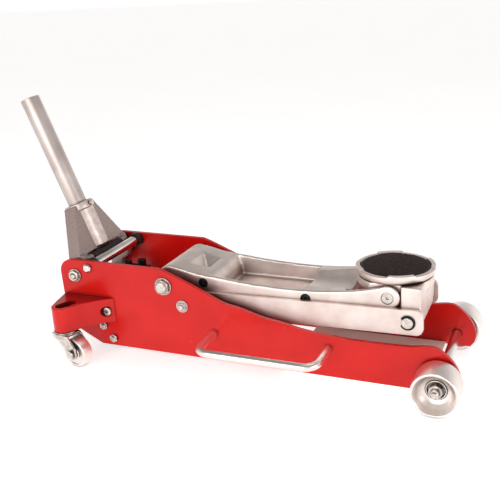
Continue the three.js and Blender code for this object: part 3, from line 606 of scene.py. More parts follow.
# ---------------------------------------------------------------- pieces
def piece(node, solid, finish, edge=0.0, crease=32.0, name=None):
    """Puts a finished piece in the place of a CAD node; edge is the width of its worked edges."""
    points, faces = solid
    mesh = bpy.data.meshes.new(node)
    mesh.from_pydata(((points + (AXLE_X, 0, 0)) * MM).tolist(), [], faces)
    mesh.materials.append(finish)
    mesh.polygons.foreach_set("use_smooth", [True] * len(mesh.polygons))
    mesh.set_sharp_from_angle(angle=math.radians(crease))
    made = bpy.data.objects.new(name or f"{node}_finished", mesh)
    bpy.context.scene.collection.objects.link(made)
    if edge:
        bevel = made.modifiers.new("edge", "BEVEL")
        bevel.width = edge * MM
        bevel.segments = 3
        bevel.limit_method = "ANGLE"
        bevel.angle_limit = math.radians(crease)
        bevel.harden_normals = True
    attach(made, BODY_OF[node])
    if name is None:
        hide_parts(node)
    return made


def pair(node, solid, finish, edge=0.0, crease=32.0):
    """A piece drawn for the left side, and its mirror image on the right."""
    piece(f"{node}_left", solid, finish, edge, crease)
    piece(f"{node}_right", mirrored(solid), finish, edge, crease)


def at_pivot(solid, pivot):
    """Stands a solid drawn about Z on a pivot line across the jack."""
    return moved(along_y(solid), pivot[0], 0, pivot[1])


# ---------------------------------------------------------------- frame
def side_plate():
    corner = 20
    sweep = [
        (-395, 142.5), (-377, 136), (-357, 127.5), (-331, 116.6), (-299, 102), (-272, 96), (-240, 86.8),
        (-214, 82.7), (-185, 76.5), (-157.5, 73), (-116.6, 70),
    ]
    nose = [(-38, 71), (-11, 74.3), (3, 68.6), (17, 55), (25.4, 38), (25.4, 23), (19, PLATE_LOW)]
    outline = [(-503, PLATE_LOW), (-530, 26), (-560, 42)]
    outline += arc(PLATE_REAR + corner, PLATE_HIGH - corner, corner, 180, 90, 14)
    outline += spline(sweep, 60) + [(-64, 70)] + spline(nose, 40)
    shanks = [
        (ARM_PIVOT, SHAFT_R), (LINK_PIVOT, LINK_BOLT_R), (YOKE_PIVOT, YOKE_BOLT_R), (TIE_BAR, TIE_BAR_END_R),
        (BRACKET_BOLT, BOLT_R), (BLOCK_BOLTS["upper"], BOLT_R), (BLOCK_BOLTS["lower"], BOLT_R), (AXLE, AXLE_R),
    ]
    holes = [rod_y(at, r + GAP, PLATE_IN - 1, PLATE_OUT + 1, sides=32) for at, r in shanks]
    return carve([slab_y(outline, PLATE_IN, PLATE_OUT)], holes)


def carry_loop():
    """Bent round bar: a ring of points at each step of the centre line, closed at both ends."""
    rear, front, z, foot, straight, reach, r, corner = -313, -146, 54.3, 66, 90, 137, 5.5, 19
    line = [(rear, foot), (rear, straight)] + arc(rear + corner, reach - corner, corner, 180, 90, 12)
    line += arc(front - corner, reach - corner, corner, 90, 0, 12) + [(front, straight), (front, foot)]
    sides = 28
    points, faces = [], []
    for i, (x, y) in enumerate(line):
        ahead = np.subtract(line[min(i + 1, len(line) - 1)], line[max(i - 1, 0)])
        across = r * np.array([-ahead[1], ahead[0]]) / np.linalg.norm(ahead)
        for a in 2 * math.pi * np.arange(sides) / sides:
            points.append((x + across[0] * math.cos(a), y + across[1] * math.cos(a), z + r * math.sin(a)))
    for i in range(len(line) - 1):
        for k in range(sides):
            n = (k + 1) % sides
            faces.append((i * sides + k, i * sides + n, (i + 1) * sides + n, (i + 1) * sides + k))
    last = (len(line) - 1) * sides
    faces += [tuple(range(sides - 1, -1, -1)), tuple(range(last, last + sides))]
    return np.array(points), faces


def build_frame():
    pair("side_plate", side_plate(), POWDER_COAT, edge=0.9)
    pair("carry_loop", carry_loop(), NICKEL)

    half, head, head_r = PLATE_IN - GAP, PLATE_OUT + GAP, 6.5
    tip = head + 4.7
    side = [
        (TIE_BAR_R, half, 0.6), (TIE_BAR_END_R, half), (TIE_BAR_END_R, head), (head_r, head, 0.4),
        (head_r, head + 3, 0.8), (TIE_BAR_END_R, tip, 0.5), (0, tip),
    ]
    piece("rear_tie_bar", at_pivot(lathe(rounded(both_ways(side)), 64), TIE_BAR), CHROME)
    stop_bore, stop_r, stop_length, stop_end = TIE_BAR_R + 0.1, 11, 11, 68.5
    for side_name, low in (("left", stop_end - stop_length), ("right", -stop_end)):
        high = low + stop_length
        ring = [(stop_bore, low), (stop_r, low, 2), (stop_r, high, 2), (stop_bore, high), (stop_bore, low)]
        stop = at_pivot(lathe(rounded(ring), 64), TIE_BAR)
        piece("rear_tie_bar", stop, RUBBER, name=f"tie_bar_stop_{side_name}")

    rear, front, thick = -209, -15, 3
    belly = block((rear, -half, PLATE_LOW), (front, half, PLATE_LOW + thick))
    piece("belly_plate", belly, COATED_SHEET, edge=0.5)


# ---------------------------------------------------------------- front wheels
def front_wheel():
    """Wheel with a hollow back and a dished face; the ball race stands in the middle of the dish."""
    bore, hub_r, rim_r, back = AXLE_R + GAP, 15, 25, WHEEL_IN + 5
    dish = spline([(26.6, 117.2), (25.0, 113.2), (22.6, 108.0), (19.4, 103.8), (16.4, 101.6), (14.2, 100.6)], 22)
    race = [(13.8, 99.4), (13.2, 99.3), (12.8, 102.0, 0.4), (11.7, 102.0, 0.4), (11.4, WHEEL_HUB, 0.3)]
    corners = [
        (bore, WHEEL_IN, 0.4), (hub_r, WHEEL_IN, 0.8), (hub_r, back, 1.5), (rim_r, back, 1.5), (rim_r, WHEEL_IN, 0.6),
        (WHEEL_R, WHEEL_IN, 1.4), (WHEEL_R, WHEEL_OUT, 1.5), (27.2, WHEEL_OUT, 0.5), *dish, *race,
        (bore, WHEEL_HUB, 0.3), (bore, WHEEL_IN),
    ]
    return lathe(rounded(corners), 144)


def build_front_wheels():
    pair("front_wheel", at_pivot(front_wheel(), AXLE), TURNED, crease=40)
    end_r, tip = 5, 115.8
    side = [(AXLE_R, WHEEL_HUB, 0.3), (end_r, WHEEL_HUB + 0.1), (end_r, tip, 0.9), (0, tip)]
    piece("front_axle", at_pivot(lathe(rounded(both_ways(side)), 64), AXLE), CHROME)
    bore, seat = end_r + GAP, WHEEL_HUB + GAP
    nut_low, nut_high = seat + 1.6, seat + 8.6
    nut = join(washer(bore, 10.8, seat, nut_low), hexagon(15.6, nut_low, nut_high, bore))
    spring_washer = washer(bore, 8.6, nut_high, nut_high + 1.6)
    end = thread(4.9, nut_high + 1.7, 117.2, 1.2)
    pair("axle_nut", at_pivot(join(nut, spring_washer, end), AXLE), ZINC)


# ---------------------------------------------------------------- casters
def caster_bracket():
    """Hollow arm outboard of the plate, with a slot in its top above the caster's stem."""
    face, wall, r = PLATE_OUT + GAP, BRACKET_WALL, 16
    outline = [(-473, face), *spline([(-478, 78.5), (-491, 88.5), (-508, 107)], 10)]
    outline += arc(CASTER_X, CASTER_Y, r, 24, 176, 20) + [(-553, 109), (-560, face)]
    hollow = [(-487, face + wall), (-497, 89), (-511.5, 105.5)]
    hollow += arc(CASTER_X, CASTER_Y, r - wall, 24, 176, 14) + [(-549, 108), (-555, face + wall)]
    shell = carve(
        [prism(outline, BRACKET_LOW, BRACKET_HIGH)], [prism(hollow, BRACKET_LOW + wall, BRACKET_HIGH - wall)]
    )
    slot = arc(-533.5, 122.5, 9, 22, 202, 16) + arc(-528, 109, 9, 202, 382, 16)
    head_sink_r = 8
    return carve(
        [cast_skin(shell, 0.9, 5)],
        [
            prism(slot, BRACKET_HIGH - 2 * wall, BRACKET_HIGH + 1),
            moved(rod(STEM_R + GAP, BRACKET_LOW - 1, BRACKET_LOW + 2 * wall, 48), CASTER_X, CASTER_Y),
            rod_y(BRACKET_BOLT, head_sink_r, face + wall - 0.1, 110),
            rod_y(BRACKET_BOLT, BOLT_R + GAP, face - 1, face + wall + 1),
        ],
    )


def caster_fork():
    """Pressed fork with its ball race and stem; the stem is on the Z axis and the wheel ahead of it."""
    wheel_axis = (CASTER_TRAIL, CASTER_R)
    leg_in, leg_out, crown_low, crown_high = 10.5, 13.5, 45, 48.2
    leg_outline = rounded(
        [(-16, 48), (-15, 42, 5), (-2, 37, 8), *arc(*wheel_axis, 9, 205, 360, 14),
         (CASTER_TRAIL + 8, 31, 6), (17, 48)]
    )
    leg = slab_y(leg_outline, leg_in, leg_out)
    crown = prism([*arc(0, 0, 17, 90, 270, 20), (16, -leg_out), (16, leg_out)], crown_low, crown_high)
    hole = rod_y(wheel_axis, BOLT_R + GAP, -20, 20, sides=32)
    pressed = carve([cast_skin(carve([crown, leg, mirrored(leg)]), 0.7, 3)], [hole])

    # Two cups of the swivel race, with the gap that shows between them.
    cup_r, neck_r, race_low, race_high = 17, 15.4, 47.4, 51.5
    race = lathe(
        rounded([(0, race_low), (15, race_low), (cup_r, 47.6, 0.6), (cup_r, 49, 0.6), (neck_r, 49.4, 0.3),
                 (neck_r, 49.9, 0.3), (cup_r, 50.3, 0.5), (cup_r, race_high, 0.7), (STEM_R, race_high),
                 (0, race_high)]), 96)
    return join(pressed, race, thread(STEM_R, race_high, 84, 1.5))


def caster_wheel():
    half, bore, recess = 8.5, BOLT_R + GAP, 1.5
    side = [
        (CASTER_R, half, 1.6), (18, half, 0.6), (17, half - recess, 0.8), (9, half - recess, 0.8), (8, half, 0.5),
        (bore, half, 0.3),
    ]
    wheel = lathe(rounded(both_ways(side) + [(bore, -half)]), 96)
    return moved(along_y(wheel), CASTER_TRAIL, 0, CASTER_R)


def build_casters():
    def swivelled(solid):
        return moved(turned(solid, "Z", CASTER_YAW), CASTER_X, CASTER_Y)

    pair("caster_bracket", caster_bracket(), BRACKET_COAT, crease=40)
    head = PLATE_OUT + 2 * GAP + BRACKET_WALL
    socket = hexagon(5, head + 1.5, head + 5)
    cap = carve([rod(6.4, head, head + 4, 64, 0.7)], [socket])
    pair("caster_bracket_bolt", at_pivot(join(rod(BOLT_R, 66, head - 0.1, 32), cap), BRACKET_BOLT), ZINC)
    pair("caster_fork", swivelled(caster_fork()), ZINC, crease=45)
    pair("caster_wheel", swivelled(caster_wheel()), TURNED, crease=40)
    leg = 13.7
    bolt = join(
        rod(BOLT_R, -leg, leg, 32), hexagon(11.6, leg + 0.1, leg + 3.9), rod(6, -leg - 3.6, -leg - 0.1, 48, 0.8)
    )
    pair("caster_axle", swivelled(at_pivot(bolt, (CASTER_TRAIL, CASTER_R))), ZINC)
    seat, nut_low, nut_high = BRACKET_LOW + BRACKET_WALL + GAP, 74, 82
    bore = STEM_R + GAP
    nut = join(washer(bore, 8, seat, nut_low - 0.1), hexagon(15.6, nut_low, nut_high, bore))
    pair("caster_nut", swivelled(nut), ZINC)


# ---------------------------------------------------------------- lift arm and links
def lift_arm():
    inner = ARM_HALF - ARM_WALL
    top = [
        (-372, 137), (-356, 133.5), (-341, 131), (-317, 129), (-279, 125.4), (-235, 123), (-191.5, 122.9),
        (-163, 124.5), (-136, 127.5), (-115.5, 130.4), (-95.6, 134.6), (-82.5, 138),
    ]
    outline = arc(*ARM_PIVOT, 22.8, 280, 92, 30) + spline(top, 50)
    outline += arc(*SADDLE_PIVOT, 16.4, 104, -90, 26) + [(-135, 105.5), (-175, 95), (-345, 94)]
    body = slab_y(outline, -ARM_HALF, ARM_HALF)

    # The square pocket narrows to a point; its mouth slopes as the arm's top does.
    middle, half_x, half_y, mouth_z, tip_z, fall = -355.5, 21, 29, 140, 117, 0.8 * math.tan(math.radians(9))
    mouth = [(-half_x, half_y), (-half_x, -half_y), (half_x, -half_y), (half_x, half_y)]
    points = np.array([(middle + x, y, mouth_z - x * fall) for x, y in mouth] + [(middle, 0, tip_z)])
    pocket = (points, [(1, 0, 4), (2, 1, 4), (3, 2, 4), (0, 3, 4), (0, 1, 2, 3)])

    # The long pocket's rear wall is the round flank of the cross rib.
    flank = [
        (-192, 99), (-192, 150), (-336, 150), (-336, 131), (-331, 130.2), (-326, 127.5), (-322.5, 123),
        (-319.5, 116), (-318, 108), (-318, 99),
    ]
    long_pocket = slab_y(flank, -inner, inner)
    dish = slab_x(arc(0, 184, 68, 222, 318, 40), -195, -128)
    fork_gap = block((-129.5, -inner, 80), (-40, inner, 160))

    # Crank cheeks hang from the hub on both sides of the crank roller.
    tip_r, root, cheek_in, cheek_out = 10, 18, 14, 24
    across = (math.cos(CRANK_LEAN), -math.sin(CRANK_LEAN))
    lean = -math.degrees(CRANK_LEAN)
    cheek_outline = [
        (ARM_PIVOT[0] + root * across[0], ARM_PIVOT[1] + root * across[1]),
        (ARM_PIVOT[0] - root * across[0], ARM_PIVOT[1] - root * across[1]),
        *arc(*CRANK_PIN, tip_r, 180 + lean, 360 + lean, 16),
    ]
    cheek = slab_y(cheek_outline, cheek_in, cheek_out)
    rough = carve([body, cheek, mirrored(cheek)], [pocket, long_pocket, dish, fork_gap])
    skin = cast_skin(rough, 1.5, 7)
    far, head_sink_r, head_seat = 60, 7.5, 46.5
    bores = [
        rod_y(ARM_PIVOT, SHAFT_R + GAP, -far, far), rod_y(SADDLE_PIVOT, UPPER_PIN_R + GAP, -far, far),
        rod_y(CRANK_PIN, CRANK_PIN_R + GAP, -30, 30),
    ]
    for bolt in ARM_BOLTS.values():
        bores += [
            rod_y(bolt, BOLT_R + GAP, -far, far, sides=32), rod_y(bolt, head_sink_r, head_seat, far),
            rod_y(bolt, head_sink_r, -far, -head_seat),
        ]
    return carve([skin], bores)


def link_bar():
    def beside(along, up):
        c, s = math.cos(REST_SLOPE), math.sin(REST_SLOPE)
        return LOWER_PIVOT[0] + along * c - up * s, LOWER_PIVOT[1] + along * s + up * c

    slope = math.degrees(REST_SLOPE)
    ahead, corner = 10.5, 9
    outline = arc(*LINK_PIVOT, LINK_HALF, 270 + slope, 90 + slope, 24)
    outline += arc(*beside(ahead, LINK_HALF - corner), corner, 90 + slope, slope, 10)
    outline += arc(*beside(ahead, corner - LINK_HALF), corner, slope, slope - 90, 10)
    bar = slab_y(outline, LINK_IN, LINK_OUT)
    holes = [rod_y(LINK_PIVOT, LINK_BOLT_R + GAP, 50, 62), rod_y(LOWER_PIVOT, LOWER_PIN_R + GAP, 50, 62)]
    return carve([bar], holes)


def nut_on(shank, across, washer_r, thick, end):
    """Washer, hexagon nut with its lock collar, and the end of the shaft in it."""
    seat, bore = PLATE_OUT + GAP, shank + 0.2
    nut_low, nut_high, top = seat + 1.6, seat + thick - 2.2, seat + thick - 0.2
    collar_r = across / 2 * 0.9
    ring = [(bore, nut_high), (collar_r, nut_high), (collar_r, top, 1.2), (bore, top, 0.4), (bore, nut_high)]
    return join(
        washer(bore, washer_r, seat, nut_low),
        hexagon(across, nut_low, nut_high, bore),
        lathe(rounded(ring), 64),
        rod(shank, seat + 1, end, 64, 0.8),
    )


def build_arm():
    piece("lift_arm", lift_arm(), CAST_ALUMINIUM, crease=40)
    pair("link_bar", link_bar(), CAST_ALUMINIUM, edge=1.0)
    spacer_r, arm_face, plate_face, tip = 13, ARM_HALF + GAP, PLATE_IN - GAP, 76
    side = [
        (SHAFT_R, arm_face), (spacer_r, arm_face, 0.5), (spacer_r, plate_face, 0.5), (SHAFT_R, plate_face),
        (SHAFT_R, tip), (0, tip),
    ]
    piece("arm_pivot_shaft", at_pivot(lathe(rounded(both_ways(side)), 64), ARM_PIVOT), ZINC)
    pair("arm_pivot_nut", at_pivot(nut_on(SHAFT_R, 19.9, 13, 9, 84), ARM_PIVOT), ZINC)
    small = join(rod(LINK_BOLT_R, LINK_IN, 75.9, 48), nut_on(4, 13.5, 9.2, 5.2, 82.2))
    pair("link_pivot_bolt", at_pivot(small, LINK_PIVOT), ZINC)
    seat = 46.7
    cap = carve([rod(6.2, seat + 0.2, 51, 64, 0.9)], [hexagon(5, 48.6, 53)])
    bolt = join(rod(BOLT_R, -seat, seat, 32), both_ends(cap))
    for place, at in ARM_BOLTS.items():
        piece(f"arm_bolt_{place}", at_pivot(bolt, at), BLACK_OXIDE)
    roller_half, journal_end = 13.7, 26
    journal = rod(CRANK_PIN_R, roller_half + 0.1, journal_end, 48, 0.6)
    roller = join(rod(11, -roller_half, roller_half, 64, 0.6), both_ends(journal))
    piece("crank_roller", at_pivot(roller, CRANK_PIN), ZINC)


# ---------------------------------------------------------------- saddle
def saddle_bracket():
    inner, wide, low, top = ARM_HALF - ARM_WALL - 0.5, ARM_HALF - 0.5, 129.0, SADDLE_LOW - GAP
    table = moved(rod(50, low, top, 96), SADDLE_X)
    beside = [block((-130, inner, low - 1), (0, 60, top + 1)), block((-130, -60, low - 1), (0, -inner, top + 1))]
    cheek_outline = [
        (-100, low + 2), *arc(*SADDLE_PIVOT, 14, 170, 290, 12), *arc(*LOWER_PIVOT, 14.5, 215, 360, 14),
        (-30.3, 104), (-30, top - 1), (-32, top), (-98, top),
    ]
    cheek = slab_y(cheek_outline, 26, inner)
    side_outline = [
        (-56, 112), *arc(*LOWER_PIVOT, 14.5, 180, 360, 16), (-30.3, 104), (-30, top - 1), (-32, top), (-56, top),
    ]
    side = slab_y(side_outline, inner - 2, wide)
    front = block((-37, 3 - inner, LOWER_PIVOT[1] - 10), (-30.3, inner - 3, top - 0.5))
    boss = moved(rod(19, 120, low + 2), SADDLE_X)
    rough = carve([carve([table], beside), cheek, mirrored(cheek), side, mirrored(side), front, boss])
    skin = cast_skin(rough, 1.1, 5)
    bores = [
        rod_y(SADDLE_PIVOT, UPPER_PIN_R + GAP, 24, 60), rod_y(SADDLE_PIVOT, UPPER_PIN_R + GAP, -60, -24),
        rod_y(LOWER_PIVOT, LOWER_PIN_R + GAP, -60, 60), moved(rod(SADDLE_STEM_R + GAP, 110, 150), SADDLE_X),
    ]
    return carve([skin], bores)


def saddle_dish():
    """Turned cup on its stem, whose rim rises in four lugs."""
    cup, stem_low, rim_band = PAD_R + GAP, 118, 1.5
    corners = [
        (0, stem_low), (SADDLE_STEM_R, stem_low, 0.6), (SADDLE_STEM_R, SADDLE_LOW), (SADDLE_R - 5, SADDLE_LOW, 2),
        (SADDLE_R - 1, SADDLE_LOW + 4, 3), (SADDLE_R, SADDLE_LOW + 7.5, 3), (SADDLE_R, SADDLE_RIM, 1.2),
        (cup, SADDLE_RIM, 0.8), (cup, SADDLE_FLOOR), (0, SADDLE_FLOOR),
    ]
    lug_centre, lug_half, lug_flank = 21, 21, 2

    def with_lugs(a, r, h):
        if h < SADDLE_RIM - rim_band:
            return r, h
        beside = abs((math.degrees(a) - lug_centre + 45) % 90 - 45)
        rise = min(1, max(0, (lug_half - beside) / lug_flank))
        return r, h + (SADDLE_LUG - SADDLE_RIM) * rise * (h - SADDLE_RIM + rim_band) / rim_band

    return lathe(rounded(corners, step=12), 288, with_lugs)


def saddle_pad():
    """Round pad, a little crowned, moulded with rows of small pyramids."""
    low, plain, pitch, stud, crown = SADDLE_FLOOR + GAP, PAD_R - 2.4, 5.6, 1.6, 2.2
    rows = [(0, low), (PAD_R, low), (PAD_R, PAD_TOP - 2.4), (PAD_R - 0.7, PAD_TOP - 1.3)]
    rows += [(r, PAD_TOP - 1.2) for r in np.linspace(plain, 0.8, 56)] + [(0, PAD_TOP - 0.9)]

    def studs(a, r, h):
        if r >= plain:
            return r, h
        x, y = r * math.cos(a), r * math.sin(a)
        u = abs(((x + y) / math.sqrt(2) / pitch) % 1 - 0.5) * 2
        v = abs(((x - y) / math.sqrt(2) / pitch) % 1 - 0.5) * 2
        return r, h - 0.8 + crown * (1 - (r / PAD_R) ** 2) + stud * min(1, 1.6 * min(u, v))

    return lathe(rows, 320, studs)


def build_saddle():
    piece("saddle_bracket", saddle_bracket(), CAST_ALUMINIUM, crease=40)
    piece("saddle_dish", moved(saddle_dish(), SADDLE_X), CAST_ALUMINIUM, crease=50)
    piece("saddle_pad", moved(saddle_pad(), SADDLE_X), RUBBER, crease=60)
    centre_mark = rod(2.2, ARM_HALF - 1.6, ARM_HALF, 32)
    pin = carve([rod(UPPER_PIN_R, 26, ARM_HALF - 0.5, 64, 0.8)], [centre_mark])
    pair("saddle_upper_pin", at_pivot(pin, SADDLE_PIVOT), ZINC)
    end = LINK_OUT + 3.4
    piece("saddle_lower_pin", at_pivot(rod(LOWER_PIN_R, -end, end, 64, 0.9), LOWER_PIVOT), ZINC)
    seat, thick = LINK_OUT + GAP, 1.5
    outline = arc(0, 0, 10, -150, 150, 40) + arc(0, 0, LOWER_PIN_R + GAP, 150, -150, 40)
    pair("retaining_ring", at_pivot(prism(outline, seat, seat + thick), LOWER_PIVOT), BLACK_OXIDE, edge=0.25)


# ---------------------------------------------------------------- hydraulic unit
def build_hydraulics():
    """Pump block between the plates, with the ram's cylinder ahead of it and the pump piston behind."""
    low, foot, front, top = PLATE_LOW + 2, PLATE_IN - GAP, -474, 102
    ram_r, piston_r, stem_r, ram_z, piston_z = 13, 8, 5, CRANK_PIN[1], PUMP_ROLLER[1]
    bores = [
        moved(along_x(rod(ram_r + GAP, -503, -470)), 0, 0, ram_z),
        moved(along_x(rod(piston_r + GAP, -520, -477.5)), 0, PUMP_Y, piston_z),
        leaning(rod(stem_r + GAP, -77, -50)),
        *(rod_y(at, BOLT_R + GAP, -75, 75, sides=32) for at in BLOCK_BOLTS.values()),
    ]
    housing = carve([block((-514, -36, 22), (front, 36, top)), block((-511, -foot, low), (front, foot, 52))], bores)
    piece("hydraulic_block", housing, BLACK_OXIDE, edge=1.6)
    for name, x, y, cap_top, finish in (
        ("filler_plug", -486, -20, 108, ZINC), ("pump_valve_cap", -498, 8, 117, BLACK_OXIDE),
        ("relief_valve_cap", -484, 27, 114, BLACK_OXIDE),
    ):
        cap = join(washer(4, 8.4, top, top + 1.2), hexagon(12, top + 1.2, cap_top))
        piece("hydraulic_block", moved(cap, x, y), finish, name=name)

    bore, tank_r, tank_rear, tank_front = ram_r + GAP, 30, front + GAP, -446
    tank = lathe(
        rounded([(bore, tank_rear), (tank_r, tank_rear, 1), (tank_r, tank_front, 3), (bore, tank_front, 0.6),
                 (bore, tank_rear)]), 96)
    gland = hexagon(36, tank_front + GAP, -436, bore)
    ram = rod(ram_r, -492, CRANK_PIN[0] - 11.5, 96, 1.2)
    for name, solid, finish in (
        ("reservoir_tube", tank, BLACK_OXIDE), ("gland_nut", gland, ZINC), ("ram_rod", ram, CHROME)
    ):
        piece(name, moved(along_x(solid), 0, 0, ram_z), finish)
    piston = rod(piston_r, PUMP_ROLLER[0] + 9.6, -503, 64, 0.8)
    piece("pump_piston", moved(along_x(piston), 0, PUMP_Y, piston_z), CHROME)

    seat = PLATE_OUT + GAP
    nut = join(hexagon(11.4, seat, seat + 3.4), thread(3.6, seat + 3.4, seat + 5, 0.8))
    bolt = join(rod(BOLT_R, -seat, seat, 32), both_ends(nut))
    for place, at in BLOCK_BOLTS.items():
        piece(f"block_bolt_{place}", at_pivot(bolt, at), ZINC)


# ---------------------------------------------------------------- yoke and handle
def leaning(solid):
    """Leans a solid drawn upright about the yoke's pivot."""
    return moved(turned(solid, "Y", -HANDLE_TILT), YOKE_PIVOT[0], 0, YOKE_PIVOT[1])


def in_yoke(at):
    """An (x, z) place in the upright drawing of the yoke."""
    dx, dz = at[0] - YOKE_PIVOT[0], at[1] - YOKE_PIVOT[1]
    sine, cosine = math.sin(HANDLE_TILT), math.cos(HANDLE_TILT)
    return dx * cosine + dz * sine, dz * cosine - dx * sine


def pump_yoke():
    """Cast web with two legs, two lugs for the bump roller and an arm for the pump roller."""
    roller, bump = in_yoke(PUMP_ROLLER), in_yoke(BUMP_ROLLER)
    half, foot, shoulder, arch, arch_half, top, top_half = 11, 14, 22, 20.5, 43, 93, 24
    web = slab_x(
        [(YOKE_OUT, foot), (YOKE_OUT, shoulder), (top_half, top), (-top_half, top), (-YOKE_OUT, shoulder),
         (-YOKE_OUT, foot), (-arch_half - 3, foot), (-arch_half, arch), (arch_half, arch), (arch_half + 3, foot)],
        -half, half,
    )
    rear_wall = block((-12, -YOKE_IN - 1, 10), (-8.6, YOKE_IN + 1, 28))
    ear = slab_y([*arc(0, 0, 16, 180, 360, 20), (14, shoulder), (-14, shoulder)], YOKE_IN, YOKE_OUT)
    lug = rod_y(bump, 6.5, 40, 55)
    roller_arm = slab_y([(14, 0), (-14, 4), *arc(*roller, 9, 150, 330, 16)], YOKE_IN, YOKE_OUT)
    core = rod(SOCKET_R - 1.5, shoulder, SOCKET_TOP - 1.1, 96)
    skin = cast_skin(carve([web, rear_wall, ear, mirrored(ear), lug, mirrored(lug), roller_arm, core]), 1.1, 5)
    return carve(
        [skin],
        [
            rod(SOCKET_R - 0.8, shoulder, SOCKET_TOP + 1, 96), rod(8, 14, 32),
            rod_y((0, 0), YOKE_BOLT_R + GAP, -70, 70), rod_y(bump, BUMP_JOURNAL_R + GAP, -51, 51),
            rod_y(roller, BOLT_R + GAP, YOKE_IN - 1, YOKE_OUT + 1), screw_hole(),
        ],
    )


def screw_hole():
    return moved(along_x(rod(3.3, 10, 30)), 0, 0, SCREW_Z)


def yoke_socket():
    """Round socket of the yoke with its collar, bored for the handle."""
    low, collar_r, collar_low, bore, drain_r, floor_z = 22, 22.5, 84.5, TUBE_R + GAP, 8, 31
    corners = [
        (drain_r, low, 0.5), (SOCKET_R, low, 2.5), (SOCKET_R, collar_low - 1.5, 1.5), (collar_r, collar_low, 1.2),
        (collar_r, SOCKET_TOP, 1.6), (bore, SOCKET_TOP, 1), (bore, floor_z), (drain_r, floor_z), (drain_r, low),
    ]
    return carve([lathe(rounded(corners), 96)], [screw_hole()])


def build_yoke_and_handle():
    piece("pump_yoke", leaning(pump_yoke()), CAST_IRON, crease=40)
    # The socket's paler iron is painted light on the yoke's one casting.
    piece("pump_yoke", leaning(yoke_socket()), FETTLED_IRON_PAINTED_PALER, crease=40, name="yoke_socket")
    tube = lathe(
        rounded([(0, TUBE_LOW), (TUBE_R, TUBE_LOW, 0.8), (TUBE_R, TUBE_HIGH, 0.6), (TUBE_BORE, TUBE_HIGH, 0.6),
                 (TUBE_BORE, TUBE_LOW + 8), (0, TUBE_LOW + 8)]), 96)
    piece("handle_tube", leaning(tube), DRAWN_TUBE)
    screw = join(rod(3, TUBE_R + 0.6, 22.7, 32), hexagon(8, 22.8, 26.2))
    piece("handle_screw", leaning(moved(along_x(screw), 0, 0, SCREW_Z)), ZINC)

    # Release joint and stem, each slotted in the end that faces the other.
    joint = carve([rod(6, 8, TUBE_LOW - GAP, 48, 0.6)], [block((-2, -7, 7), (2, 7, 14))])
    piece("release_joint", leaning(joint), ZINC)
    stem = carve([rod(5, -75, -6, 48, 0.5)], [block((-6, -2, -12), (6, 2, -5))])
    piece("release_stem", leaning(stem), ZINC)

    r, groove_r, journal_r, tip = 7, 6.2, BUMP_JOURNAL_R, 50
    grooves = [(r, y) if k % 2 else (groove_r, y) for k, y in enumerate(np.arange(-26, 27, 4.0))]
    front_end = rounded([(r, 36.6, 0.8), (6, 37.2, 0.4), (journal_r, 38), (journal_r, tip, 0.4)])
    rear_end = [(0, -tip), (journal_r, -tip), (journal_r, -38), (6.4, -37.6), (r, -36.6)]
    piece("bump_roller", at_pivot(lathe(rear_end + grooves + front_end + [(0, tip)], 64), BUMP_ROLLER), RUBBER)
    pump = join(rod(9, 13, 35, 64, 0.6), rod(BOLT_R, 35.1, YOKE_OUT, 32, 0.4))
    piece("pump_roller", at_pivot(pump, PUMP_ROLLER), ZINC)

    seat, thread_r = PLATE_OUT + GAP, 4.1
    nut_low = seat + 1.8
    bolt = join(
        rod(YOKE_BOLT_R, YOKE_IN, seat, 48), washer(5, 10, seat, nut_low),
        hexagon(14.9, nut_low, 81.4, thread_r + 0.1), thread(thread_r, nut_low, 82.5, 1.2),
    )
    pair("yoke_pivot_bolt", at_pivot(bolt, YOKE_PIVOT), ZINC)


build_frame()
build_front_wheels()
build_casters()
build_arm()
build_saddle()
build_hydraulics()
build_yoke_and_handle()


# ---------------------------------------------------------------- stage, light and camera
def floor():
    """Plain pale floor, just under the wheels; its faint glow keeps the far part as white as the near part."""
    mesh = bpy.data.meshes.new("floor")
    far = 30.0
    mesh.from_pydata([(-far, -far, 0), (far, -far, 0), (far, far, 0), (-far, far, 0)], [], [(0, 1, 2, 3)])
    made = bpy.data.objects.new("floor", mesh)
    bpy.context.scene.collection.objects.link(made)
    made.location.z = -0.5 * MM
    paint, tree, shader, place = start_material("matt_white_floor", Roughness=0.9, Emission_Strength=0.58)
    two_tone(tree, shader, place, 400, "#F2F1F0", "#F7F6F5")
    shader.inputs["Emission Color"].default_value = linear("#FFFFFF")
    mesh.materials.append(paint)


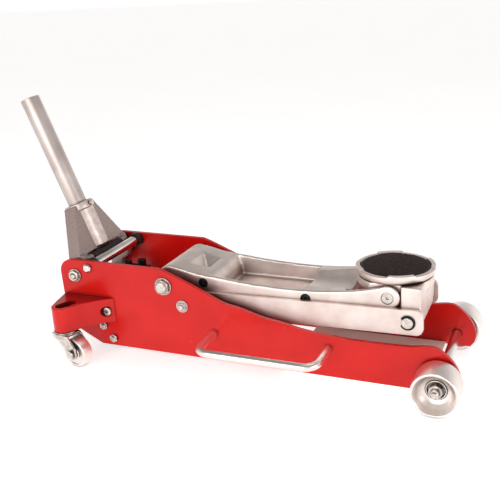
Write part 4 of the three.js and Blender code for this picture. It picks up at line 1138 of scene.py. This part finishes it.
def soft_box(name, place, aim, size, power):
    """Rectangular lamp; place, aim and size in metres, power in watts."""
    light = bpy.data.lights.new(name, "AREA")
    light.shape = "RECTANGLE"
    light.size, light.size_y = size
    light.energy = power
    made = bpy.data.objects.new(name, light)
    made.location = place
    made.rotation_euler = (Vector(aim) - Vector(place)).to_track_quat("-Z", "Y").to_euler()
    bpy.context.scene.collection.objects.link(made)


def sky():
    """White studio, darker overhead so that upper faces read apart from the sides."""
    world = bpy.data.worlds.new("studio")
    world.use_nodes = True
    bpy.context.scene.world = world
    tree = world.node_tree
    up = add_node(tree, "SeparateXYZ", None, None, {"Vector": add_node(tree, "TexCoord").outputs["Generated"]})
    strength = add_node(
        tree,
        "MapRange",
        {"interpolation_type": "SMOOTHSTEP"},
        {"From Min": 0.05, "From Max": 0.8, "To Min": 1.1, "To Max": 0.22},
        {"Value": up.outputs["Z"]},
    )
    tree.nodes["Background"].inputs["Color"].default_value = linear("#FFFDFB")
    tree.links.new(strength.outputs["Result"], tree.nodes["Background"].inputs["Strength"])


def camera():
    """Camera above the right side, towards the nose, a little rolled."""
    place = (0.443857, -0.9558, 0.5114)
    azimuth, elevation, roll = math.radians(23.661), math.radians(18.843), math.radians(-3.109)
    right = Vector((math.cos(azimuth), math.sin(azimuth), 0))
    back = Vector(
        (math.sin(azimuth) * math.cos(elevation), -math.cos(azimuth) * math.cos(elevation), math.sin(elevation))
    )
    up = back.cross(right)
    rolled_right = math.cos(roll) * right + math.sin(roll) * up
    rolled_up = -math.sin(roll) * right + math.cos(roll) * up
    data = bpy.data.cameras.new("camera")
    data.sensor_width = 36
    data.lens = 55.29
    data.clip_end = 100
    made = bpy.data.objects.new("camera", data)
    rows = [(rolled_right[i], rolled_up[i], back[i], place[i]) for i in range(3)]
    made.matrix_world = Matrix(rows + [(0, 0, 0, 1)])
    bpy.context.scene.collection.objects.link(made)
    bpy.context.scene.camera = made


floor()
sky()
soft_box("front_soft_box", (-0.3, -2.0, 0.9), (0, 0, 0.08), (1.8, 1.2), 17)
soft_box("top_soft_box", (0.5, 0.3, 1.9), (0, 0, 0.1), (1.2, 1.2), 5)
soft_box("nose_soft_box", (1.9, -0.45, 0.42), (0.2, 0, 0.02), (0.9, 0.5), 6)
camera()
bpy.context.scene.view_settings.view_transform = "Standard"
